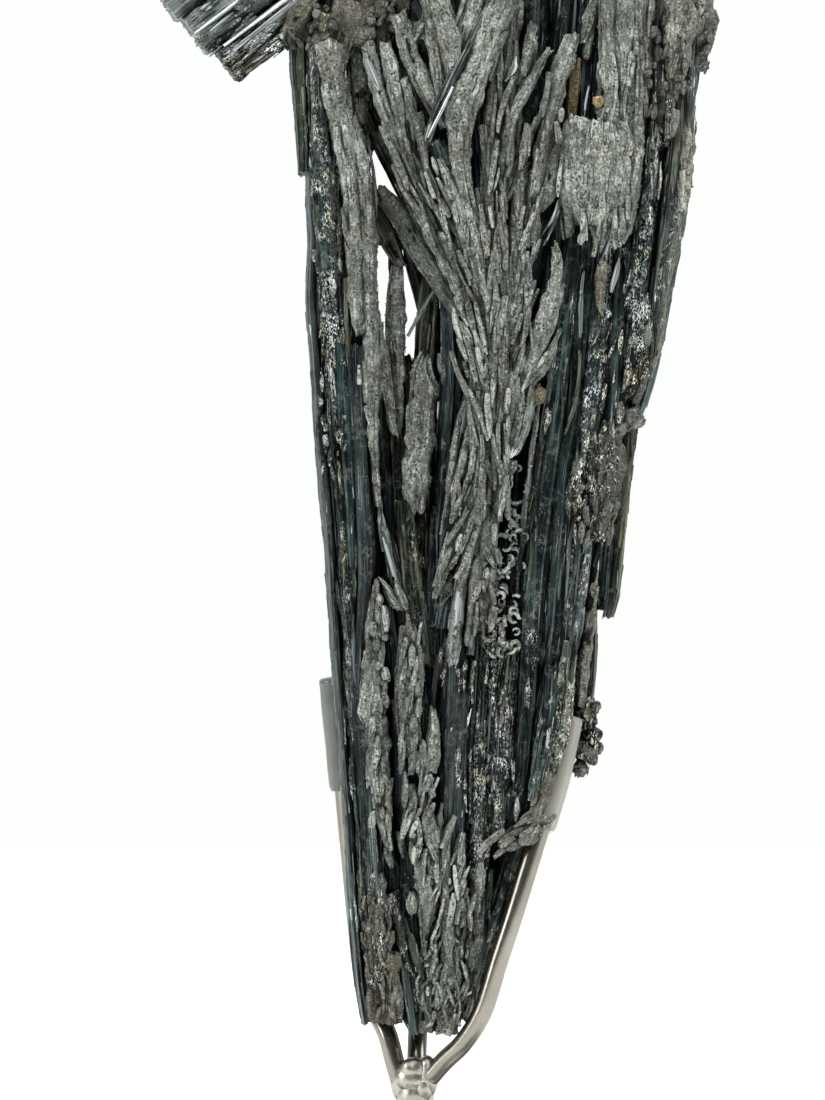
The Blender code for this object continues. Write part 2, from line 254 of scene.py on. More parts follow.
@dataclass
class Skin:
    """Points, faces, grain map and surface marks, gathered for one piece."""

    grids: list = field(default_factory=list)
    quads: list = field(default_factory=list)
    grain: list = field(default_factory=list)
    marks: list = field(default_factory=list)
    along: list = field(default_factory=list)
    count: int = 0

    def add_grid(self, grid: np.ndarray, grain: np.ndarray, marks: np.ndarray,
                 along: np.ndarray) -> None:
        """Add a closed tube of rings whose first and last ring are each one point.

        Args:
            grid: Points in mm, rings by columns by three.
            grain: Distance round and along in mm, rings by columns plus one by two.
            marks: Surface marks, rings by columns by the number of MARKS.
            along: Direction of the long axis, rings by three or rings by columns by three.
        """
        rings, columns = grid.shape[:2]
        near, far = grain[:, :-1], grain[:, 1:]
        maps = np.stack([near[:-1], far[:-1], far[1:], near[1:]], axis=2).reshape(-1, 4, 2)
        self.grids.append(grid)
        self.quads.append(self.count + ring_faces(rings, columns))
        self.grain.append(maps)
        self.marks.append(marks)
        if along.ndim == 2:
            along = np.repeat(along[:, None], columns, axis=1)
        self.along.append(along.reshape(-1, 3))
        self.count += rings * columns

    def points(self) -> np.ndarray:
        """Return every point in mm, one row each."""
        return np.concatenate([grid.reshape(-1, 3) for grid in self.grids])

    def build(self, name: str, finish: bpy.types.Material) -> bpy.types.Object:
        """Make the piece: an object at the origin whose mesh is in metres.

        Args:
            name: Name of the object and its mesh.
            finish: Its one material.

        Returns:
            The object, linked to the scene.
        """
        points = self.points() * MM
        quads = np.concatenate(self.quads)
        grain = np.concatenate(self.grain) * MM
        mesh = bpy.data.meshes.new(name)
        mesh.from_pydata(points, [], quads.tolist())
        layer = mesh.uv_layers.new(name="grain")
        layer.data.foreach_set("uv", grain.reshape(-1).astype(np.float32))
        marks = np.concatenate([part.reshape(-1, len(MARKS)) for part in self.marks])
        for column, mark in enumerate(MARKS):
            attribute = mesh.attributes.new(mark, "FLOAT", "POINT")
            attribute.data.foreach_set("value", marks[:, column].astype(np.float32))
        axis = mesh.attributes.new("along", "FLOAT_VECTOR", "POINT")
        axis.data.foreach_set("vector", np.concatenate(self.along).reshape(-1).astype(np.float32))
        return finished_object(name, mesh, finish)


def finished_object(name: str, mesh: bpy.types.Mesh,
                    finish: bpy.types.Material) -> bpy.types.Object:
    """Weld the tube ends, link the object and give it its material.

    Args:
        name: Name of the object.
        mesh: A mesh of closed tubes.
        finish: Its one material.

    Returns:
        The object, linked to the scene.
    """
    bm = bmesh.new()
    bm.from_mesh(mesh)
    bmesh.ops.remove_doubles(bm, verts=bm.verts, dist=TUBE_ENDS_MERGE)
    bmesh.ops.dissolve_degenerate(bm, edges=bm.edges, dist=SLIVER)
    bm.to_mesh(mesh)
    bm.free()
    mesh.validate()
    mesh.shade_smooth()
    mesh.set_sharp_from_angle(angle=np.radians(SHARP_FROM))
    mesh.materials.append(finish)
    obj = bpy.data.objects.new(name, mesh)
    bpy.context.scene.collection.objects.link(obj)
    return obj


def facing(grid: np.ndarray) -> np.ndarray:
    """Return the outward direction at every point of a closed tube of rings.

    Args:
        grid: Points in mm, rings by columns by three.

    Returns:
        One direction of length one for each point.
    """
    round_way = np.roll(grid, -1, axis=1) - np.roll(grid, 1, axis=1)
    up_way = np.gradient(grid, axis=0)
    out = unit(np.cross(round_way, up_way))
    away = grid - grid.mean(axis=1, keepdims=True)
    return out * np.where((out * away).sum(axis=-1, keepdims=True) < 0.0, -1.0, 1.0)


@dataclass(frozen=True)
class Openness:
    """Marks how open each point is, by short rays in mm from the surface, to paint gap shade."""

    reach: float = 10.0
    lift: float = 0.2
    lean: float = 0.95
    spokes: int = 6

    def mark(self, skins: list[Skin]) -> None:
        """Write the open mark of every skin: 0 deep in a gap, 1 in the open.

        Args:
            skins: Every skin of the cluster; each can shade the others.
        """
        points, quads, start = [], [], 0
        for skin in skins:
            points.append(skin.points())
            quads.append(np.concatenate(skin.quads) + start)
            start += skin.count
        tree = BVHTree.FromPolygons(np.concatenate(points).tolist(),
                                    np.concatenate(quads).tolist())
        rng = np.random.default_rng(5)
        for skin in skins:
            for grid, marks in zip(skin.grids, skin.marks):
                free = self._free(tree, grid, rng)
                free = (2.0 * free + np.roll(free, 1, axis=1) + np.roll(free, -1, axis=1)) / 4.0
                free[1:-1] = (2.0 * free[1:-1] + free[:-2] + free[2:]) / 4.0
                marks[..., Mark.OPEN.value] = free

    def _free(self, tree: BVHTree, grid: np.ndarray, rng: np.random.Generator) -> np.ndarray:
        """Return the share of rays from each point that meet nothing.

        Args:
            tree: Every face of the cluster.
            grid: Points in mm, rings by columns by three.
            rng: Turns each fan of rays its own way.

        Returns:
            A share from 0 to 1, rings by columns.
        """
        out = facing(grid).reshape(-1, 3)
        side = unit(np.cross(out, np.array([0.31, 0.17, 0.93])))
        other = np.cross(out, side)
        origins = (grid.reshape(-1, 3) + out * self.lift).tolist()
        total = np.zeros(len(out))
        first = rng.uniform(0.0, 2.0 * np.pi, len(out))
        for spoke in range(-1, self.spokes):
            if spoke < 0:
                ways = out
            else:
                turn = first + 2.0 * np.pi * spoke / self.spokes
                ways = unit(out + self.lean * (np.cos(turn)[:, None] * side
                                               + np.sin(turn)[:, None] * other))
            hits = [tree.ray_cast(start, way, self.reach)[3]
                    for start, way in zip(origins, ways.tolist())]
            total += np.array([1.0 if hit is None else (hit / self.reach) ** 1.5
                               for hit in hits])
        return (total / (self.spokes + 1)).reshape(grid.shape[:2])


def declare(piece: bpy.types.Object, slot: str, *nodes: str) -> bpy.types.Object:
    """Ride a piece on the object and hide the frame parts that it takes the place of.

    Args:
        piece: The finished object.
        slot: Not used.
        nodes: Frame nodes that it takes the place of.

    Returns:
        The same object.
    """
    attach(piece, ROOT)
    if nodes:
        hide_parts(*nodes)
    LOG.info("%s: %d faces", piece.name, len(piece.data.polygons))
    return piece


# ---------------------------------------------------------------------------------------------
# Crystals
# ---------------------------------------------------------------------------------------------


class Tip(Enum):
    """How a crystal's end closes: width share, depth share and rise in widths, ring by ring."""

    BROKEN = ((0.86, 0.86, 0.02), (0.5, 0.5, 0.03), (0.0, 0.0, 0.02))
    CHISEL = ((0.92, 0.55, 0.3), (0.7, 0.18, 0.6), (0.0, 0.0, 0.66))


@dataclass(frozen=True)
class Crystal:
    """One crystal or coated blade, from its foot to the end that shows.

    `line` holds across, up and width as seen from the front, and `near` the depth of the middle
    line at the foot and at the head. `ridges` counts thin side crystals per 100 square mm.
    """

    line: tuple[tuple[float, float, float], ...]
    near: tuple[float, float]
    depth: float
    coat: float = 0.0
    etch: float = 0.0
    ridges: float = 0.0
    ridge_size: tuple[float, float] = (0.5, 1.5)
    proud: float = 0.96
    tip: Tip = Tip.BROKEN
    foot_tip: Tip = Tip.BROKEN
    facets: int = 7
    groove: float = 0.35
    steps: float = 0.9
    jag: float = 1.0
    tone: float = 0.5
    # Painted sheen: pale steel and silver colour laid on the bare faces.
    shine: float = 0.0
    blue: float = 0.0
    stain: float = 0.0
    lumps: float = 0.4
    mesh_across: float = 0.8
    mesh_along: float = 1.6
    roll: float = 0.0
    ragged: float = 0.05


@dataclass(frozen=True)
class Lump:
    """A knobbly mass: where it is seen and how deep, and its half sizes, all in mm."""

    at: tuple[float, float, float]
    size: tuple[float, float, float]
    coat: float = 0.9
    etch: float = 0.0
    stain: float = 0.0
    tone: float = 0.5
    # Painted sheen, as on a crystal.
    shine: float = 0.0
    blue: float = 0.0
    rough: float = 0.7
    block: float = 0.8
    mesh: float = 0.9


@dataclass(frozen=True)
class Patch:
    """A zone of finish seen from the front, round a line from one place to another, in mm."""

    mark: Mark
    start: tuple[float, float]
    end: tuple[float, float]
    radius: float
    amount: float = 1.0
    ragged: float = 0.5
    depth: tuple[float, float] = (-80.0, 5.0)

    def cover(self, x: np.ndarray, z: np.ndarray, y: np.ndarray, rough: np.ndarray) -> np.ndarray:
        """Return how much of each point the zone covers, from 0 to 1.

        Args:
            x: Across in mm, as seen.
            z: Up in mm, as seen.
            y: Real depth in mm.
            rough: Noise that frays the edge.

        Returns:
            A share from 0 to 1 for each point.
        """
        a, b = np.array(self.start), np.array(self.end)
        way = b - a
        share = ((x - a[0]) * way[0] + (z - a[1]) * way[1]) / max(way @ way, 1e-6)
        share = np.clip(share, 0.0, 1.0)
        reach = np.hypot(x - a[0] - share * way[0], z - a[1] - share * way[1])
        edge = reach / self.radius + self.ragged * rough
        inside = 1.0 - ramp(edge, 0.75, 1.1)
        deep = (y >= self.depth[0]) & (y <= self.depth[1])
        return inside * deep


@dataclass(frozen=True)
class Rod:
    """Something round that the crystals keep clear of: its middle line in mm and its radius."""

    line: np.ndarray
    radius: float

    def push(self, points: np.ndarray) -> np.ndarray:
        """Move points that lie inside the rod out to its surface.

        Args:
            points: Points in mm, any shape that ends in three.

        Returns:
            The points, with those inside the rod moved.
        """
        flat = points.reshape(-1, 3)
        low, high = self.line.min(axis=0) - self.radius, self.line.max(axis=0) + self.radius
        close = np.where(((flat > low) & (flat < high)).all(axis=1))[0]
        if not len(close):
            return points
        part = flat[close]
        best = np.full(len(close), 1e9)
        away = np.zeros((len(close), 3))
        for a, b in zip(self.line, self.line[1:]):
            way = b - a
            share = np.clip(((part - a) @ way) / (way @ way), 0.0, 1.0)
            gap = part - (a + share[:, None] * way)
            size = np.linalg.norm(gap, axis=1)
            nearer = size < best
            best[nearer] = size[nearer]
            away[nearer] = gap[nearer]
        inside = best < self.radius
        lift = unit(away[inside]) * (self.radius - best[inside])[:, None]
        flat = flat.copy()
        flat[close[inside]] += lift
        return flat.reshape(points.shape)


@dataclass(frozen=True)
class RidgeRules:
    """How the thin crystals lie along a crystal's faces; sizes in mm, the rest are shares."""

    steps: int = 40
    shortest: float = 6.0
    longest: float = 60.0
    most_of_length: float = 0.8
    spread_coated: float = 0.52
    spread_bare: float = 0.46
    drift: float = 0.09
    thinning: float = 0.45
    on_front: float = 0.82
    sunk: float = 0.10
    bright: float = 0.16
    facets: int = 5
    coarse_across: float = 3.0
    coarse_along: float = 3.2


@dataclass(frozen=True)
class SurfaceRules:
    """Sizes in mm of the marks on a crystal: across, deep and along."""

    wide_groove: tuple = (2.4, 2.4, 90.0)
    fine_groove: tuple = (1.1, 1.1, 45.0)
    fine_groove_share: float = 0.7
    strip: float = 2.1
    strip_edge: float = 0.006
    strip_drop: float = 0.35
    grain: tuple = (1.0, 1.0, 2.2)
    clot: tuple = (3.2, 3.2, 5.0)
    pit: tuple = (0.8, 0.8, 1.6)
    skin: float = 0.2
    calm_on_break: float = 0.6
    finish_patch: tuple = (7.0, 7.0, 16.0)
    finish_speck: float = 2.2
    patch_edge: float = 3.5


@dataclass(frozen=True)
class LumpRules:
    """Shape of a knobbly mass; sizes in mm."""

    rings: tuple[int, int] = (7, 26)
    columns: tuple[int, int] = (9, 34)
    block: float = 2.6
    crumb: float = 1.1
    crumb_height: float = 0.28
    crag: tuple = (2.6, 2.6, 4.4)
    crag_height: float = 0.34
    plain: float = 0.35


RIDGE = RidgeRules()
SURFACE = SurfaceRules()
LUMP = LumpRules()


@dataclass
class Grower:
    """Turns crystals into skins, with shared patches, rods to keep clear of and a seed."""

    patches: tuple[Patch, ...]
    rods: tuple[Rod, ...]
    seed: int = 11

    def grow(self, skin: Skin, crystals: tuple[Crystal, ...]) -> None:
        """Add crystals to a skin, each with its ridges.

        Args:
            skin: The skin to add to.
            crystals: What to grow, in order.
        """
        for crystal in crystals:
            self.seed += 1
            rng = np.random.default_rng(self.seed)
            self._grow_one(skin, crystal, rng)
            for ridge in self._ridges(crystal, rng):
                self._grow_one(skin, ridge, rng)

    def _ridges(self, crystal: Crystal, rng: np.random.Generator) -> list[Crystal]:
        """Return thin crystals that lie along a crystal's faces.

        Args:
            crystal: The crystal that carries them.
            rng: Its random numbers.

        Returns:
            The ridges, as crystals of their own.
        """
        line = smooth_line(np.array(crystal.line, dtype=float)[:, [0, 1, 1, 2]],
                           RIDGE.steps + 1)
        line = line[:, [0, 1, 3]]
        way = unit(np.gradient(line[:, :2], axis=0))
        across = np.stack([way[:, 1], -way[:, 0]], axis=1)
        ridges = []
        reach = float(np.linalg.norm(np.diff(line[:, :2], axis=0), axis=1).sum())
        count = int(round(crystal.ridges * reach * float(line[:, 2].mean()) / 100.0))
        longest = min(RIDGE.most_of_length, RIDGE.longest / reach)
        for _ in range(count):
            size = rng.uniform(*crystal.ridge_size)
            long = max(RIDGE.shortest / reach, longest * rng.random() ** 1.3)
            long = min(long, 0.9)
            first = rng.uniform(-0.04, 1.0 - long)
            span = slice(int(np.clip(first, 0.0, 1.0) * RIDGE.steps),
                         int((first + long) * RIDGE.steps) + 2)
            if span.stop - span.start < 3:
                continue
            most = RIDGE.spread_coated if crystal.coat > 0.5 else RIDGE.spread_bare
            side = rng.uniform(-most, most)
            drift = rng.uniform(-RIDGE.drift, RIDGE.drift)
            share = np.linspace(0.0, 1.0, len(line[span]))
            place = side + drift * share
            part = line[span].copy()
            part[:, :2] += across[span] * (place * part[:, 2])[:, None]
            part[:, 2] = size * (1.0 - RIDGE.thinning * np.abs(2.0 * share - 1.0) ** 2)
            part = part[:: max(1, len(part) // 5)]
            out = 0.5 * crystal.depth * np.sqrt(max(0.05, 1.0 - (2.0 * side) ** 2))
            way_out = -1.0 if rng.random() < RIDGE.on_front else 1.0
            out = way_out * (out * crystal.proud - RIDGE.sunk * size)
            near = np.interp([first, first + long], [0.0, 1.0], crystal.near) + out
            grey = np.clip(crystal.coat + rng.uniform(-0.3, 0.25), 0.0, 1.0)
            ridges.append(replace(
                crystal,
                line=tuple(tuple(row) for row in part),
                near=(float(near[0]), float(near[1])),
                ridges=0,
                depth=size * rng.uniform(0.5, 0.9),
                coat=float(grey),
                facets=RIDGE.facets,
                tone=float(np.clip(crystal.tone + rng.uniform(-0.4, 0.4), 0.0, 1.0)),
                # Some ridges get a painted sheen.
                shine=float(crystal.shine + (rng.uniform(0.2, 0.6)
                                             if rng.random() < RIDGE.bright else 0.0)),
                etch=crystal.etch * rng.uniform(0.3, 1.0), steps=0.25 * size / 2.0,
                groove=0.08, jag=1.8, tip=Tip.BROKEN, foot_tip=Tip.BROKEN, ragged=0.2,
                lumps=crystal.lumps * 0.4, mesh_across=RIDGE.coarse_across,
                mesh_along=RIDGE.coarse_along))
        return ridges

    def _outline(self, crystal: Crystal, half: tuple[float, float],
                 rng: np.random.Generator) -> tuple[np.ndarray, np.ndarray]:
        """Return a faceted outline within plus and minus one, and its run in mm.

        Args:
            crystal: Whose outline it is.
            half: Half the mean width and half the depth, in mm.
            rng: Its random numbers.

        Returns:
            Points across and deep, and the distance round at each in mm.
        """
        count = crystal.facets
        turn = 2.0 * np.pi * (np.arange(count) + 0.5 + rng.uniform(-0.22, 0.22, count)) / count
        turn += np.radians(crystal.roll) - np.pi / 2.0
        reach = rng.uniform(0.80, 1.0, count)
        corners = np.stack([reach * np.cos(turn), reach * np.sin(turn)], axis=1)
        low, high = corners.min(axis=0), corners.max(axis=0)
        corners = (corners - 0.5 * (low + high)) / (0.5 * (high - low))
        points, run = [], [0.0]
        for a, b in zip(corners, np.roll(corners, -1, axis=0)):
            size = float(np.linalg.norm((b - a) * np.array(half)))
            steps = max(1, int(round(size / crystal.mesh_across)))
            for k in range(steps):
                points.append(a + (b - a) * k / steps)
                run.append(run[-1] + size / steps)
        return np.array(points), np.array(run)

    def _grow_one(self, skin: Skin, crystal: Crystal, rng: np.random.Generator) -> None:
        """Add one crystal to a skin.

        Args:
            skin: The skin to add to.
            crystal: What to grow.
            rng: Its random numbers.
        """
        stations = np.array(crystal.line, dtype=float)
        run = run_along(stations[:, :2])
        depth_at = np.interp(run, [0.0, run[-1]], crystal.near)
        placed = np.column_stack([seen(stations[:, 0], stations[:, 1], depth_at),
                                  stations[:, 2]])
        length = float(run[-1])
        body = max(4, int(np.ceil(length / crystal.mesh_along)))
        centre = smooth_line(placed, body + 1)
        widths = centre[:, 3]
        centre = centre[:, :3]
        tangent = unit(np.gradient(centre, axis=0))
        wide = unit(np.cross(np.array([0.0, 1.0, 0.0]), tangent))
        deep = np.cross(tangent, wide)
        half = (0.5 * float(widths.mean()), 0.5 * crystal.depth)
        outline, round_at = self._outline(crystal, half, rng)
        columns = len(outline)
        offset = rng.uniform(0.0, 500.0)
        along_at = np.linspace(0.0, length, body + 1)

        # Ragged ends: every column starts and stops at its own height.
        spot = np.column_stack([outline * np.array(half) / 1.4, np.full(columns, offset)])
        jag = crystal.jag * min(half[0], 2.6) * 0.9
        top_cut = jag * (0.5 + 0.5 * noise(spot, 3))
        low_cut = jag * (0.5 + 0.5 * noise(spot + 40.0, 4))
        if crystal.tip is not Tip.BROKEN:
            top_cut = top_cut * 0.3
        share = np.linspace(0.0, 1.0, body + 1)[:, None]
        slide = low_cut[None, :] * (1.0 - share) ** 4 - top_cut[None, :] * share**4

        scale_w = (0.5 * widths)[:, None] * np.ones(columns)
        edge = self._ragged_edge(crystal, along_at, outline[:, 0], half[0], offset)
        scale_w = scale_w * (1.0 + edge)
        scale_d = 0.5 * crystal.depth * (widths / widths.mean())[:, None] ** 0.6 * np.ones(columns)
        radial = unit(outline * np.array([1.0, half[1] / half[0]]))
        rings_w = outline[None, :, 0] * scale_w
        rings_d = outline[None, :, 1] * scale_d
        grid = (centre[:, None, :] + rings_w[..., None] * wide[:, None, :]
                + rings_d[..., None] * deep[:, None, :]
                + slide[..., None] * tangent[:, None, :])
        outward = unit(radial[None, :, 0, None] * wide[:, None, :]
                       + radial[None, :, 1, None] * deep[:, None, :])

        # Close the ends with rings that shrink to one point.
        grid, outward, spots, low_rings = self._close(crystal, grid, outward, tangent, widths,
                                                      wide, deep, rng)
        rings = len(grid)
        high_rings = rings - (body + 1) - low_rings
        pad = (low_rings, high_rings)
        heights = np.pad(along_at, pad, mode="edge")
        local = np.stack([np.pad(rings_w, (pad, (0, 0)), mode="edge"),
                          np.pad(rings_d, (pad, (0, 0)), mode="edge"),
                          np.broadcast_to(heights[:, None], (rings, columns))], axis=-1)

        marks = self._marks(crystal, grid, offset, spots)
        end = np.minimum(heights, length - heights)
        marks[..., Mark.PLAIN.value] = (1.0 - ramp(end, 1.2, 3.6))[:, None]
        lift = self._relief(crystal, grid, marks, local, round_at[:-1], offset, length, spots)
        fade = np.ones(rings)
        fade[0] = fade[-1] = 0.0
        grid = grid + outward * (lift * fade[:, None])[..., None]
        for rod in self.rods:
            grid = rod.push(grid)
        past = np.concatenate([-0.5 * np.arange(low_rings, 0, -1), np.zeros(body + 1),
                               0.5 * np.arange(1, high_rings + 1)])
        grain = np.stack(np.broadcast_arrays(round_at[None, :] + offset,
                                             (heights + past)[:, None] + offset), axis=-1)
        directions = np.pad(tangent, (pad, (0, 0)), mode="edge")
        skin.add_grid(grid, grain, marks, directions)

    def _ragged_edge(self, crystal: Crystal, along: np.ndarray, side: np.ndarray, half: float,
                     offset: float) -> np.ndarray:
        """Return how far each ring's left and right edges stray, as a share of the half width.

        Args:
            crystal: Whose edges they are.
            along: Height of each ring in mm.
            side: Where each column lies, from -1 at left to 1 at right.
            half: Half the mean width in mm.
            offset: Moves the noise, so that no two edges are alike.

        Returns:
            A share for each ring and column.
        """
        most = min(crystal.ragged, 1.1 / half)
        spot = np.empty((len(along), len(side), 3))
        spot[..., 0] = along[:, None] / 3.0
        spot[..., 1] = np.where(side < 0.0, 0.0, 37.0)[None, :] + offset
        spot[..., 2] = offset
        chips = np.round(2.2 * noise(spot * 0.6, 72)) / 2.2
        return most * (0.7 * noise(spot, 71) + 0.9 * chips) * np.abs(side)[None, :]

    def mass(self, skin: Skin, lumps: tuple[Lump, ...]) -> None:
        """Add knobbly masses to a skin.

        Args:
            skin: The skin to add to.
            lumps: The masses, in order.
        """
        for lump in lumps:
            self.seed += 1
            rng = np.random.default_rng(self.seed)
            offset = rng.uniform(0.0, 500.0)
            half = np.array(lump.size)
            rings = int(np.clip(half[2] * 2.6 / lump.mesh, *LUMP.rings))
            columns = int(np.clip((half[0] + half[1]) * 3.1 / lump.mesh, *LUMP.columns))
            down = np.linspace(np.pi, 0.0, rings)[:, None] * np.ones(columns)
            turn = np.linspace(0.0, 2.0 * np.pi, columns, endpoint=False)[None, :]
            ball = np.stack([np.sin(down) * np.cos(turn), np.sin(down) * np.sin(turn),
                             np.cos(down)], axis=-1)
            place = seen(np.array(lump.at[0]), np.array(lump.at[1]), np.array(lump.at[2]))
            grid = place + ball * half
            size = float(half.min())
            shape = fractal(grid / (1.1 * size) + offset, 2, 51)
            blocks = np.round(3.0 * noise(grid / LUMP.block + offset, 52)) / 3.0
            crumbs = noise(grid / LUMP.crumb + offset, 53)
            crags = fractal(grid / np.array(LUMP.crag) + offset, 2, 57)
            lift = (size * lump.rough * shape + lump.block * blocks + LUMP.crumb_height * crumbs
                    + LUMP.crag_height * min(size, 4.0) * crags)
            grid = grid + unit(ball / half) * lift[..., None]
            for rod in self.rods:
                grid = rod.push(grid)
            marks = self._marks(lump, grid, offset, np.zeros(rings))
            marks[..., Mark.PLAIN.value] = LUMP.plain
            grain = np.stack(np.broadcast_arrays(
                np.linspace(0.0, 6.0 * size, columns + 1)[None, :] + offset,
                (2.0 * half[2] * np.linspace(0.0, 1.0, rings))[:, None] + offset), axis=-1)
            skin.add_grid(grid, grain, marks, self._astray(grid, offset))

    def _astray(self, grid: np.ndarray, offset: float) -> np.ndarray:
        """Return directions that lie on a surface and wander from place to place.

        Args:
            grid: Points in mm, rings by columns by three.
            offset: Moves the noise.

        Returns:
            One direction of length one for each point.
        """
        out = facing(grid)
        spot = grid / 2.4 + offset
        ways = np.stack([noise(spot, 61), noise(spot, 62), noise(spot, 63)], axis=-1)
        return unit(ways - (ways * out).sum(axis=-1, keepdims=True) * out)

    def _close(self, crystal: Crystal, grid: np.ndarray, outward: np.ndarray,
               tangent: np.ndarray, widths: np.ndarray, wide: np.ndarray,
               deep: np.ndarray, rng: np.random.Generator) -> tuple:
        """Add the closing rings at both ends, and say which points are on a break.

        Args:
            crystal: Whose ends they are.
            grid: Points in mm, rings by columns by three.
            outward: Outward direction of each point.
            tangent: Direction of the middle line at each ring.
            widths: Width of each ring in mm.
            wide: Direction of the width at each ring.
            deep: Direction of the depth at each ring.
            rng: Its random numbers.

        Returns:
            The longer grid, its outward directions, how much of a break each ring is, and how many
            rings were added at the foot.
        """
        low, low_out, high, high_out = [], [], [], []
        for ring, tip, sign, rows, rows_out in (
            (0, crystal.foot_tip, -1.0, low, low_out), (-1, crystal.tip, 1.0, high, high_out),
        ):
            middle = grid[ring].mean(axis=0)
            spokes = grid[ring] - middle
            on_wide = spokes @ wide[ring]
            on_deep = spokes @ deep[ring]
            on_axis = spokes @ tangent[ring]
            for share_w, share_d, rise in tip.value:
                rough = on_axis * share_w
                if tip is Tip.BROKEN:
                    chips = rng.uniform(-0.5, 0.5, len(spokes))
                    rough = rough + chips * 0.12 * widths[ring] * share_w
                up = sign * rise * widths[ring] + rough
                rows.append(middle + (on_wide * share_w)[:, None] * wide[ring]
                            + (on_deep * share_d)[:, None] * deep[ring]
                            + np.outer(np.broadcast_to(up, len(spokes)), tangent[ring]))
                rows_out.append(unit(outward[ring] * share_w
                                     + sign * tangent[ring] * (1.0 - 0.6 * share_w)))
        grid = np.concatenate([np.array(low[::-1]), grid, np.array(high)])
        outward = np.concatenate([np.array(low_out[::-1]), outward, np.array(high_out)])
        spots = np.zeros(len(grid))
        spots[:len(low)] = 1.0
        spots[len(grid) - len(high):] = 1.0 if crystal.tip is Tip.BROKEN else 0.3
        return grid, outward, spots, len(low)

    def _marks(self, crystal: Crystal | Lump, grid: np.ndarray, offset: float,
               spots: np.ndarray) -> np.ndarray:
        """Return the surface marks of every point of a crystal.

        Args:
            crystal: What the surface belongs to.
            grid: Points in mm, rings by columns by three.
            offset: Moves the noise.
            spots: How much of a break each ring is.

        Returns:
            Rings by columns by the number of MARKS.
        """
        shape = grid.shape[:2]
        base = (crystal.coat, crystal.etch, crystal.stain, crystal.tone, crystal.shine,
                crystal.blue, 0.0, 1.0)
        marks = np.ones((*shape, len(MARKS))) * np.array(base)
        wide_noise = fractal(grid / np.array(SURFACE.finish_patch) + offset, 2, 5)
        fine_noise = fractal(grid / SURFACE.finish_speck, 2, 6)
        coat, etch = Mark.COAT.value, Mark.ETCH.value
        if 0.0 < crystal.coat < 1.0:
            bias = 2.2 * (crystal.coat - 0.5)
            marks[..., coat] = ramp(wide_noise * 0.9 + fine_noise * 0.5 + bias, -0.15, 0.15)
        if 0.0 < crystal.etch < 1.0:
            bias = 2.2 * (crystal.etch - 0.5)
            marks[..., etch] = ramp(wide_noise * 0.7 + fine_noise * 0.6 + bias, -0.2, 0.2)
        broken = 0.5 * spots[:, None] * (1.0 - marks[..., coat])
        marks[..., etch] = np.maximum(marks[..., etch], broken)
        x, z = front_of(grid)
        rough = 0.6 * fractal(grid / SURFACE.patch_edge, 2, 8) + 0.4 * fine_noise
        for patch in self.patches:
            cover = patch.cover(x, z, grid[..., 1], rough)
            column = patch.mark.value
            marks[..., column] += (patch.amount - marks[..., column]) * cover
        return marks

    def _relief(self, crystal: Crystal, grid: np.ndarray, marks: np.ndarray, local: np.ndarray,
                round_at: np.ndarray, offset: float, length: float,
                spots: np.ndarray) -> np.ndarray:
        """Return how far each point stands out from the plain crystal, in mm.

        Args:
            crystal: Whose surface it is.
            grid: Points in mm, rings by columns by three.
            marks: Surface marks of each point.
            local: Across, deep and along in mm, straightened out.
            round_at: Distance round at each column in mm.
            offset: Moves the noise.
            length: Length in mm.
            spots: How much of a break each ring is.

        Returns:
            A height in mm, rings by columns.
        """
        along = local[..., 2]
        coat, etch = marks[..., Mark.COAT.value], marks[..., Mark.ETCH.value]
        bared = 1.0 - coat
        spot = local + offset
        grooves = noise(spot / np.array(SURFACE.wide_groove), 21)
        fine = noise(spot / np.array(SURFACE.fine_groove), 22)
        grooves = grooves + SURFACE.fine_groove_share * fine
        lift = crystal.groove * grooves * (0.4 + 0.6 * bared)

        # Terraces: growth strips that stop short of the ends.
        strip = np.floor(round_at / SURFACE.strip + offset).astype(np.int64)[None, :]
        stop = lattice(strip, strip * 0 + 3, strip * 0, 31)
        start = lattice(strip, strip * 0 + 5, strip * 0, 32)
        step = lattice(strip, strip * 0 + 7, strip * 0, 33)
        part, edge = along / length, SURFACE.strip_edge
        high = ramp(part, 0.5 + 0.5 * stop - edge, 0.5 + 0.5 * stop + edge)
        low = 1.0 - ramp(part, 0.35 * start - edge, 0.35 * start + edge)
        lift -= crystal.steps * (high + low) * (0.15 + 0.85 * step)
        lift -= SURFACE.strip_drop * crystal.steps * step

        # The coat is a skin of grains and fibres; etched zones are pitted.
        grains = fractal(spot / np.array(SURFACE.grain), 2, 41)
        clots = fractal(grid / np.array(SURFACE.clot), 2, 42)
        lift += coat * (SURFACE.skin + crystal.lumps * (0.75 * grains + clots))
        pits = noise(spot / np.array(SURFACE.pit), 43)
        lift -= etch * bared * (0.4 * (0.5 + 0.5 * pits) - 0.7 * clots)
        return lift * (1.0 - SURFACE.calm_on_break * spots[:, None])


# ---------------------------------------------------------------------------------------------
# Shader graphs
# ---------------------------------------------------------------------------------------------


def live(sockets: object, name: str) -> bpy.types.NodeSocket:
    """Return the socket of a name that is in use."""
    return next(socket for socket in sockets if socket.name == name and socket.enabled)


